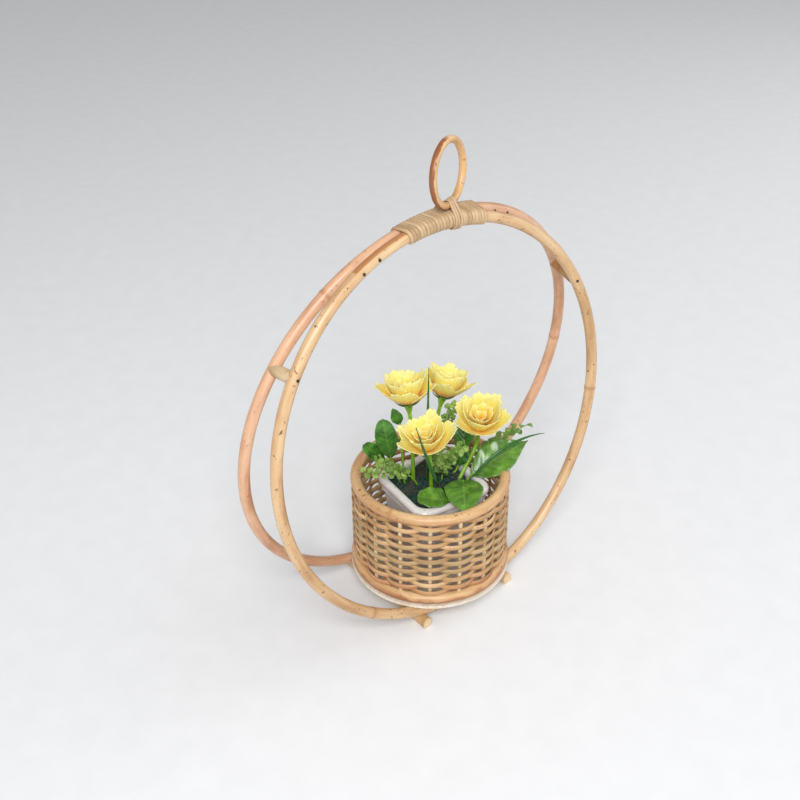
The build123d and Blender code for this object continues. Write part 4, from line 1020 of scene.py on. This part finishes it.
# %% [markdown]
# ## Sprigs
# A sprig is a thin stalk with pairs of small round leaflets. Pairs along a line are made for
# Geometry Nodes: points along the stalk, one leaflet on each, turned left or right by turns, with a
# little chance in how far it turns and tilts, from a fixed seed.

# %% The sprig tree
leaflet_rows, leaflet_columns, leaflet_thickness = 6, 6, 0.35
grid, marks = [], []
for i in range(leaflet_rows + 1):
    t = i / leaflet_rows
    half = 0.5 * outline_share(t, 0.62, 0.55)
    for j in range(leaflet_columns + 1):
        u = j / leaflet_columns * 2 - 1
        grid.append((t, u * half, 0.16 * math.sin(math.pi * t) + 0.12 * abs(u) * half * 2))
        marks.append((u, t, 0))
leaflet = new_piece("sprig_leaflet", grid, grid_faces(leaflet_rows, leaflet_columns), sprig_green,
                    {"leaf": marks})

sprig_tree, given = new_tree("leaflets_on_a_stalk", [
    ("Stalk", "Geometry"), ("Leaflet", "Object"), ("Count", "Int"), ("Size", "Float"), ("Spread", "Float"),
    ("Seed", "Int"), ("Material", "Material")])
line = add(sprig_tree, "GeometryNodeMeshToCurve", {"Mesh": given["Stalk"]})
beads = add(sprig_tree, "GeometryNodeCurveToPoints", {"Curve": line, "Count": given["Count"]},
            mode="COUNT").outputs
shape = add(sprig_tree, "GeometryNodeObjectInfo", {"Object": given["Leaflet"]}).outputs["Geometry"]
number = add(sprig_tree, "GeometryNodeInputIndex")
odd = add(sprig_tree, "ShaderNodeMath", [number, 2.0], operation="MODULO")
hand = add(sprig_tree, "ShaderNodeMath", [odd, 2.0, -1.0], operation="MULTIPLY_ADD")
least, most = (-0.5, -0.5, -0.5), (0.5, 0.5, 0.5)
chance = add(sprig_tree, "FunctionNodeRandomValue", {0: least, 1: most, "Seed": given["Seed"]},
             data_type="FLOAT_VECTOR")
chances = add(sprig_tree, "ShaderNodeSeparateXYZ", [chance]).outputs
facing = add(sprig_tree, "GeometryNodeInputNamedAttribute", {"Name": "facing"},
             data_type="FLOAT_VECTOR")
along = add(sprig_tree, "FunctionNodeAlignRotationToVector", {"Vector": beads["Tangent"]}, axis="X")
upright = add(sprig_tree, "FunctionNodeAlignRotationToVector", {"Rotation": along, "Vector": facing},
              axis="Z", pivot_axis="X")
leaflets = add(sprig_tree, "GeometryNodeInstanceOnPoints", {
    "Points": beads["Points"], "Instance": shape, "Rotation": upright, "Scale": given["Size"]})
outward = add(sprig_tree, "ShaderNodeMath", [chances["Z"], 0.5, given["Spread"]], operation="MULTIPLY_ADD")
swing = {"Z": add(sprig_tree, "ShaderNodeMath", [hand, outward], operation="MULTIPLY")}
for way, tilt in (("X", 1.2), ("Y", 0.9)):
    swing[way] = add(sprig_tree, "ShaderNodeMath", [chances[way], tilt], operation="MULTIPLY")
swing = add(sprig_tree, "ShaderNodeCombineXYZ", swing)
leaflets = add(sprig_tree, "GeometryNodeRotateInstances", {"Instances": leaflets, "Rotation": swing})
end_tree(sprig_tree, leaflets, given["Material"])

# %% Sprigs
def stalk_lines(name, lines, facing):
    """A start object: straight stalks, each a row of joined points that carry the way they face."""
    steps = 12
    points = [tuple((a + (b - a) * t / (steps - 1)) * mm) for a, b in lines for t in range(steps)]
    edges = [(k * steps + i, k * steps + i + 1) for k in range(len(lines)) for i in range(steps - 1)]
    mesh = bpy.data.meshes.new(name)
    mesh.from_pydata(points, edges, [])
    data = mesh.attributes.new("facing", "FLOAT_VECTOR", "POINT").data
    data.foreach_set("vector", list(unit(facing)) * len(points))
    start = bpy.data.objects.new(name, mesh)
    bpy.context.scene.collection.objects.link(start)
    return start


# Root, base and tip as shares, the way it faces, leaflets on a stalk, stalks, and their spread in mm.
sprigs = {
    "left_sprig": ((-0.232, 0.051), (-0.181, 0.048, 0.119), (-0.437, 0.088, 0.331), (-0.5, -0.6, 1),
                   11, 4, 17.0),
    "middle_sprig": ((0.099, -0.068), (0.051, -0.04, 0.063), (0.031, -0.044, 0.311), (-0.6, -0.7, 0.4),
                     10, 6, 16.0),
    "rear_sprig": ((0.142, 0.136), (0.155, 0.112, 0.215), (0.282, 0.144, 0.455), (-0.6, -0.7, 0.4),
                   9, 3, 8.0),
    "right_sprig": ((0.439, 0), (0.315, 0, 0.075), (0.769, -0.12, 0.207), (-0.1, -0.3, 1), 11, 3, 10.0),
}
for seed, (name, (root, base, tip, facing, count, stalks, spread)) in enumerate(sprigs.items(), 3):
    root, base, tip = rooted(root), arranged(base), arranged(tip)
    rng = np.random.default_rng(seed)
    bend = base * 0.6 + root * 0.4 + np.array([0, 0, 2.0])
    way = smooth_path([root - (0, 0, root_depth), root, bend, base], 8)
    rods = [tube([p * mm for p in way], [0.6 * mm])]
    lines = [(base, tip)]
    for _ in range(stalks - 1):
        fork = base + (tip - base) * rng.uniform(0.0, 0.35)
        reach = (tip - base) * rng.uniform(0.5, 0.8)
        aside = rng.uniform(-1, 1, 3) * (spread, spread, spread * 0.6)
        lines.append((fork, fork + reach + aside))
    rods += [tube([a * mm, (a + b) / 2 * mm, b * mm], [0.45 * mm], 6) for a, b in lines]
    verts, faces, _ = joined([(v, f, []) for v, f in rods])
    stalk = new_piece(name + "_stalk", verts, faces, stem_green)
    piece = run_tree(name + "_leaflets", sprig_tree, stalk_lines(name + "_line", lines, facing), {
        "Leaflet": leaflet, "Count": count, "Size": 5.6 * mm, "Spread": 1.0, "Seed": seed,
        "Material": sprig_green})
    thickened(piece, leaflet_thickness)
    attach(stalk, "flower_pot")
    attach(piece, "flower_pot")
    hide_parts(name)
bpy.data.objects.remove(leaflet)

# %% [markdown]
# ## The moss
# Dyed moss is a mat of short crinkled threads. The cushion under it is a crowned grid pushed up and
# down by a sum of waves, and Geometry Nodes scatter small curled tufts over it.


# %% Moss cushion and tufts
moss_green, tree, place = new_material("dyed_moss_fibre")
moss_thread = 0.002
tangle = add(tree, "ShaderNodeTexNoise", {"Vector": place, "Scale": 1 / moss_thread, "Detail": 4.0})
patches = add(tree, "ShaderNodeTexNoise", {"Vector": place, "Scale": 90.0, "Detail": 2.0})
colour = add(tree, "ShaderNodeValToRGB", [tangle],
             stops=[(0.3, "#132B2A"), (0.5, "#2A4C44"), (0.72, "#4E6C5E")])
share = add(tree, "ShaderNodeMapRange", [patches, 0.5, 0.6, 0.0, 0.6], interpolation_type="SMOOTHSTEP")
colour = add(tree, "ShaderNodeMix", {0: share, 6: colour, 7: "#5C5547"}, data_type="RGBA")
surface(tree, colour, 0.85, tangle, 0.0008)

pot_turn = math.radians(-7)
pot_right = np.array([math.cos(pot_turn), math.sin(pot_turn), 0])
pot_back = np.array([-math.sin(pot_turn), math.cos(pot_turn), 0])
# Heights of the cushion, and the half width of its flat sides with the radius of its corners.
moss_foot, moss_crown, side_half, corner_radius = 98.6, 106.0, 20, 9.4
rng = np.random.default_rng(11)
waves = [(rng.uniform(-1, 1, 2) * s, rng.uniform(0, math.tau), 1.0 / s**0.5)
         for s in (0.15, 0.25, 0.4, 0.6, 0.9) for _ in range(4)]


def moss_height(x, y):
    """How high the moss stands at a place, crowned and lumpy."""
    reach = min(1, max(abs(x), abs(y)) / (moss_width / 2))
    lumps = sum(a * math.sin(k[0] * x + k[1] * y + p) for k, p, a in waves)
    return moss_crown - 4.5 * reach**4 + 0.28 * lumps


cells = 48
verts, faces = [], []
for layer in (0, 1):
    for i in range(cells + 1):
        for j in range(cells + 1):
            x, y = ((v / cells - 0.5) * moss_width for v in (i, j))
            past = [max(abs(v) - side_half, 0) for v in (x, y)]
            far = math.hypot(*past)
            if far > corner_radius:
                x, y = (math.copysign(side_half + over * corner_radius / far, v) if over else v
                        for v, over in zip((x, y), past))
            z = moss_height(x, y) if layer else moss_foot
            spot = np.array([basket_x, pot_y, z]) + pot_right * x + pot_back * y
            verts.append(spot * mm)
size = (cells + 1) ** 2
across = cells + 1
faces += [tuple(reversed(f)) for f in grid_faces(cells, cells)] + grid_faces(cells, cells, size)
border = [(i, 0) for i in range(cells)] + [(cells, j) for j in range(cells)] \
    + [(i, cells) for i in range(cells, 0, -1)] + [(0, j) for j in range(cells, 0, -1)]
border = [i * across + j for i, j in border]
faces += [(a, b, b + size, a + size) for a, b in zip(border, border[1:] + border[:1])]
cushion = new_piece("moss_cushion", verts, faces, moss_green)

curls = []
for strand in range(3):
    a = strand * 2.1
    way = []
    for t in np.linspace(0, 1, 5):
        away = 0.15 + 0.5 * t
        way.append(np.array([math.cos(a + t * 2.2) * away, math.sin(a + t * 2.2) * away,
                             0.9 * math.sin(t * 2.6)]))
    curls.append((*tube(way, [0.09, 0.1, 0.1, 0.08, 0.05], 3), []))
verts, faces, _ = joined(curls)
tuft = new_piece("moss_tuft", verts, faces, moss_green)

moss_tree, given = new_tree("moss_tufts", [
    ("Cushion", "Geometry"), ("Tuft", "Object"), ("Density", "Float"), ("Size", "Float"), ("Seed", "Int"),
    ("Material", "Material")])
normal = add(moss_tree, "GeometryNodeInputNormal")
facing_up = add(moss_tree, "ShaderNodeSeparateXYZ", [normal]).outputs["Z"]
upper = add(moss_tree, "FunctionNodeCompare", [facing_up, 0.3], data_type="FLOAT",
            operation="GREATER_THAN")
spots = add(moss_tree, "GeometryNodeDistributePointsOnFaces", {
    "Mesh": given["Cushion"], "Selection": upper, "Density": given["Density"], "Seed": given["Seed"]}).outputs
shape = add(moss_tree, "GeometryNodeObjectInfo", {"Object": given["Tuft"]}).outputs["Geometry"]
least, most = (-0.7, -0.7, 0.0), (0.7, 0.7, math.tau)
spin = add(moss_tree, "FunctionNodeRandomValue", {0: least, 1: most, "Seed": given["Seed"]},
           data_type="FLOAT_VECTOR")
grow = add(moss_tree, "FunctionNodeRandomValue", {"Min": 0.6, "Max": 1.5, "Seed": given["Seed"]},
           data_type="FLOAT")
amount = add(moss_tree, "ShaderNodeMath", [grow, given["Size"]], operation="MULTIPLY")
tufts = add(moss_tree, "GeometryNodeInstanceOnPoints", {
    "Points": spots["Points"], "Instance": shape, "Rotation": spin, "Scale": amount})
mat = add(moss_tree, "GeometryNodeJoinGeometry")
moss_tree.links.new(given["Cushion"], mat.inputs[0])
moss_tree.links.new(tufts.outputs[0], mat.inputs[0])
end_tree(moss_tree, mat, given["Material"])
moss = run_tree("moss_mat", moss_tree, cushion, {
    "Tuft": tuft, "Density": 420000.0, "Size": 2.2 * mm, "Seed": 5, "Material": moss_green})
bpy.data.objects.remove(tuft)
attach(moss, "flower_pot")
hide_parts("moss")

# %% [markdown]
# ## The blooms
# Each flower is a cup of cloth petals: five wide outer petals that open out, five inner petals that
# stand up, and a crumpled heart. The edge of each petal is ruffled and pale, and the throat is
# orange. A petal is a grid again, bent along a curve from the stem out to its tip, with waves that
# grow towards the edge.


# %% Petal materials
petal_thread = 0.0005


def petal_material(name, stops, edge, vein):
    """Printed cloth petal: colour by how far along it is, fine veins, a pale edge."""
    material, tree, place = new_material(name)
    marks = add(tree, "ShaderNodeAttribute", attribute_name="petal").outputs["Vector"]
    petal = add(tree, "ShaderNodeSeparateXYZ", [marks]).outputs
    spread = {"Z": petal["Z"]}
    for way, times in (("X", 9.0), ("Y", 1.6)):
        spread[way] = add(tree, "ShaderNodeMath", [petal[way], times], operation="MULTIPLY")
    fan = add(tree, "ShaderNodeCombineXYZ", spread)
    streaks = add(tree, "ShaderNodeTexNoise", {"Vector": fan, "Scale": 1.6, "Detail": 3.0})
    cloud = add(tree, "ShaderNodeTexNoise", {"Vector": place, "Scale": 160.0, "Detail": 2.0})
    centred = add(tree, "ShaderNodeMath", [streaks, 0.5], operation="SUBTRACT")
    reach = add(tree, "ShaderNodeMath", [centred, 0.3, petal["Y"]], operation="MULTIPLY_ADD")
    centred = add(tree, "ShaderNodeMath", [cloud, 0.5], operation="SUBTRACT")
    reach = add(tree, "ShaderNodeMath", [centred, 0.2, reach], operation="MULTIPLY_ADD")
    colour = add(tree, "ShaderNodeValToRGB", [reach], stops=stops)
    share = add(tree, "ShaderNodeMapRange", [
        streaks, 0.56, 0.7, 0.0, 0.55], interpolation_type="SMOOTHSTEP")
    colour = add(tree, "ShaderNodeMix", {0: share, 6: colour, 7: vein}, data_type="RGBA")
    amount = add(tree, "ShaderNodeMath", [petal["X"]], operation="ABSOLUTE")
    rim = add(tree, "ShaderNodeMath", [amount, petal["Y"]], operation="MAXIMUM")
    share = add(tree, "ShaderNodeMapRange", [rim, 0.7, 0.98, 0.0, 0.75], interpolation_type="SMOOTHSTEP")
    colour = add(tree, "ShaderNodeMix", {0: share, 6: colour, 7: edge}, data_type="RGBA")
    weave = add(tree, "ShaderNodeTexNoise", {"Vector": place, "Scale": 1 / petal_thread})
    height = add(tree, "ShaderNodeMath", [weave, 0.3, streaks], operation="MULTIPLY_ADD")
    surface(tree, colour, 0.62, height, 0.0005, Sheen_Weight=0.15)
    return material


petal_face = petal_material("printed_petal_cloth", [(0.06, "#F09A20"), (0.2, "#F9C236"), (0.4, "#F8D850"),
                                                    (0.66, "#F4E470")], "#F0EDA0", "#F3B13A")
heart_face = petal_material("printed_heart_cloth", [(0.1, "#EE7E16"), (0.32, "#F7A92E"), (0.58, "#F9CD48"),
                                                    (0.9, "#F6E370")], "#F3EE9E", "#F0942A")
print("petal finishes:", petal_face.name, heart_face.name)


# %% Petals, hearts and sepals
def petal(axes, turn_angle, width, reach, rng, ruffle, rows=20, columns=44, layer=0.0, uneven=1.2,
          paler=0.0, drop=0.24):
    """One spoon-shaped petal: reach gives radius and height along it; ruffles grow to the edge.

    Uneven is how far its tip may stand higher or lower, in mm, paler moves its print towards the
    tip's colour, and drop is how far its corners stay behind its middle.
    """
    across, other, axis, base = axes
    grid, marks = [], []
    phases = rng.uniform(0, math.tau, 6)
    lean, stretch, tilt = rng.uniform(-0.07, 0.07), rng.uniform(0.92, 1.06), rng.uniform(-uneven, uneven)
    for i in range(rows + 1):
        t = i / rows
        half = width / 2 * (0.26 + 0.74 * math.sin(math.pi / 2 * min(1, t / 0.7)) ** 0.9) * (1 - 0.1 * t**6)
        for j in range(columns + 1):
            u = j / columns * 2 - 1
            reached = t * stretch * (1 - drop * abs(u) ** 2.4 * t * t)
            radius, height = reach(reached)
            edge = max(abs(u) ** 4, t**5) * t
            wave = 1.8 * math.sin(4.4 * u + phases[0] + 2.5 * t)
            wave += 0.8 * math.sin(10 * u + phases[1] + 5 * t * u)
            fine = 0.3 * math.sin(24 * u + phases[2]) * t**8
            fine += 0.3 * math.sin(26 * t + phases[4]) * abs(u) ** 6
            angle = turn_angle + lean + u * half / max(radius, half * 0.62)
            out = across * math.cos(angle) + other * math.sin(angle)
            crease = 0.5 * math.sin(math.tau * 1.3 * u + phases[3]) * math.sin(math.pi * t) ** 1.5
            radius = radius * (1 - 0.05 * u * u) + ruffle * (edge * wave * 0.5 + fine) + crease
            height += tilt * t * t - 0.8 * abs(u) ** 3 * t
            height += ruffle * (edge * wave * 0.6 + fine * 0.8) + crease
            grid.append(base + out * radius + axis * height)
            marks.append((u, paler + (1 - paler) * t, layer + phases[3]))
    return grid, grid_faces(rows, columns), marks


def outer_reach(t):
    """Radius and height of an outer petal along its length, in mm from the stem's head."""
    return 3.2 + 22.2 * t**0.85, 1.5 + 19.5 * t**1.5 - 1.5 * t**5


def inner_reach(t):
    return 3.0 + 13.6 * t**0.6, 2.4 + 22.0 * t**1.15


def heart_reach(t):
    return 1.2 + 9.0 * t**0.7, 2.6 + 18.5 * t


def core_reach(t):
    return 0.8 + 4.4 * t**0.8, 2.8 + 16.0 * t


print("an outer petal ends", [round(v, 1) for v in outer_reach(1)], "mm out from and above the stem")

# %% [markdown]
# The four blooms differ in where their rim's middle is, in the way that they face, in how far they
# are turned and in how pale the cloth is. The random draws of each start from its own seed.

# %% Blooms
bloom_height, cloth_thickness, sepal_thickness = 24.0, 0.4, 0.5
blooms = {
    "front_bloom": ((-0.193, -0.128, 0.603), (-0.22, -0.04, 1), 0.415, 0.3, 21),
    "left_bloom": ((-0.084, 0.196, 0.792), (-0.01, 0.16, 1), 0.34, -0.45, 22),
    "rear_bloom": ((0.374, 0.272, 0.626), (0.31, 0, 1), 0.75, -0.5, 23),
    "right_bloom": ((0.333, -0.112, 0.515), (-0.14, -0.25, 1), 0.63, 0.25, 24),
}


def bloom_piece(name, parts, material, mark, thickness):
    """Petals, or sepals, joined to one piece of cloth with its thickness."""
    verts, faces, marks = joined(parts)
    piece = new_piece(name, [v * mm for v in verts], faces, material, {mark: marks})
    thickened(piece, thickness)
    return piece


for name, (rim_middle, axis, phase, paler, seed) in blooms.items():
    rng = np.random.default_rng(seed)
    axis = unit(axis)
    base = arranged(rim_middle) - axis * bloom_height
    across = unit(np.cross(axis, np.cross((0, 0, 1), axis)))
    other = np.cross(axis, across)
    axes = (across, other, axis, base)
    outer = [petal(axes, phase + math.tau * k / 5, 27, outer_reach, rng, 1.3, layer=k, uneven=2.5,
                   paler=paler) for k in range(5)]
    inner = [petal(axes, phase + 0.6 + math.tau * k / 5, 26, inner_reach, rng, 1.1, layer=k + 7,
                   uneven=2.4, drop=0.13) for k in range(5)]
    petals = bloom_piece(name + "_petal_cloth", outer + inner, petal_face, "petal", cloth_thickness)
    crown = [petal(axes, phase + 0.2 + math.tau * k / 4, 18, heart_reach, rng, 0.9, rows=14, columns=26,
                   layer=k + 20, drop=0.1) for k in range(4)]
    core = [petal(axes, phase + 0.9 + math.tau * k / 3, 11, core_reach, rng, 0.8, rows=10, columns=18,
                  layer=k + 30, drop=0.08) for k in range(3)]
    heart = bloom_piece(name + "_heart_cloth", crown + core, heart_face, "petal", cloth_thickness)
    sepals = []
    for k in range(5):
        a = phase + 0.3 + math.tau * k / 5
        out = across * math.cos(a) + other * math.sin(a)
        start_at, end_at = base + out * 2.6 - axis * 2.0, base + out * 11.5 + axis * 4.2
        grid, marks = blade_points(start_at, end_at, 4.6, -0.1, axis - out * 0.3, 8, 4, fullest=0.3,
                                   sharp=1.1, wave=0.0)
        sepals.append((grid, grid_faces(8, 4), marks))
    sepal_piece = bloom_piece(name + "_sepals", sepals, bright_leaf, "leaf", sepal_thickness)
    for piece in (petals, heart, sepal_piece):
        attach(piece, "flower_pot")
    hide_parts(name + "_petals")
    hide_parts(name + "_heart")

# %% [markdown]
# ## Finishes on the CAD pieces
# What keeps its CAD shape only needs its material: each slot of the piece is given the finish that
# belongs to it.

# %% Give the CAD pieces their finishes
finishes = {
    "base_board": board_wood, "basket_stakes": stake_wood, "left_cross_bar": bar_wood,
    "right_cross_bar": bar_wood, "left_spacer": left_peg, "right_spacer": right_peg, "pot": glaze,
    "foam_block": foam_green,
}
for name, node in nodes.items():
    if name.endswith("_nails") or name.endswith("_tacks"):
        finishes[name] = nail_steel
    if name.endswith("_bloom_stem"):
        finishes[name] = stem_green
for name, material in finishes.items():
    for index in range(len(nodes[name].material_slots)):
        nodes[name].material_slots[index].material = material
print("CAD pieces finished:", len(finishes))

# %% [markdown]
# ## The studio
# The floor is pale and plain. A large soft lamp high at the front left makes the shape, a weaker one
# fills the right side, and a pale world lights the rest. The camera stands where the photograph's
# camera stood: left and front of the basket, a little above.

# %% Floor, lamps and world
floor_mesh = bpy.data.meshes.new("studio_floor")
floor_half = 6
corners = [(-1, -1), (1, -1), (1, 1), (-1, 1)]
floor_mesh.from_pydata([(x * floor_half, y * floor_half, 0) for x, y in corners], [], [(0, 1, 2, 3)])
floor = bpy.data.objects.new("studio_floor", floor_mesh)
bpy.context.scene.collection.objects.link(floor)
paper, tree, place = new_material("pale_paper_floor")
fleck = add(tree, "ShaderNodeTexNoise", {"Vector": place, "Scale": 40.0})
colour = add(tree, "ShaderNodeValToRGB", [fleck], stops=[(0.3, "#E3E4E6"), (0.7, "#E6E7E9")])
surface(tree, colour, 0.9, Specular_IOR_Level=0.1)
floor_mesh.materials.append(paper)

# Each lamp's place and size in metres, and its power in watts. Both look at the basket's middle.
lamps = {"key_lamp": ((-1.3, -1.5, 1.9), 1.2, 62.0), "fill_lamp": ((1.8, -0.6, 1.3), 1.5, 14.0)}
lamp_aim = Vector((0, 0, 0.18))
for name, (place, size, power) in lamps.items():
    lamp = bpy.data.lights.new(name, "AREA")
    lamp.shape = "SQUARE"
    lamp.size = size
    lamp.energy = power
    stand = bpy.data.objects.new(name, lamp)
    stand.location = place
    stand.rotation_euler = (Vector(place) - lamp_aim).to_track_quat("Z", "Y").to_euler()
    bpy.context.scene.collection.objects.link(stand)

world = bpy.data.worlds.new("pale_studio")
bpy.context.scene.world = world
world.use_nodes = True
world.node_tree.nodes.clear()
ray = add(world.node_tree, "ShaderNodeLightPath").outputs
seen = add(world.node_tree, "ShaderNodeMath", [
    ray["Is Camera Ray"], ray["Is Transmission Ray"]], operation="MAXIMUM")
strength = add(world.node_tree, "ShaderNodeMath", [seen, 0.45, 0.45], operation="MULTIPLY_ADD")
sky = add(world.node_tree, "ShaderNodeBackground", {"Color": (1, 1, 1, 1), "Strength": strength})
add(world.node_tree, "ShaderNodeOutputWorld", {"Surface": sky})
print("lamps:", ", ".join(lamps))

# %% Camera
bpy.context.scene.view_settings.view_transform = "Standard"
azimuth, elevation, roll = math.radians(-38.902), math.radians(32.672), math.radians(-0.661)
aim, distance = Vector((-0.02377, 0.0175, 0.18759)), 0.94385
flat = Vector((math.sin(azimuth), -math.cos(azimuth), 0))
back = flat * math.cos(elevation) + Vector((0, 0, math.sin(elevation)))
level = Vector((math.cos(azimuth), math.sin(azimuth), 0))
above = back.cross(level)
right = level * math.cos(roll) + above * math.sin(roll)
upward = above * math.cos(roll) - level * math.sin(roll)
lens = bpy.data.cameras.new("photo_camera")
lens.lens = 51.26
lens.sensor_width = 36.0
lens.clip_start = 0.01
camera = bpy.data.objects.new("photo_camera", lens)
turned = Matrix((right, upward, back)).transposed().to_4x4()
camera.matrix_world = Matrix.Translation(aim + back * distance) @ turned
bpy.context.scene.collection.objects.link(camera)
bpy.context.scene.camera = camera
print("camera at", [round(v, 3) for v in camera.matrix_world.translation])
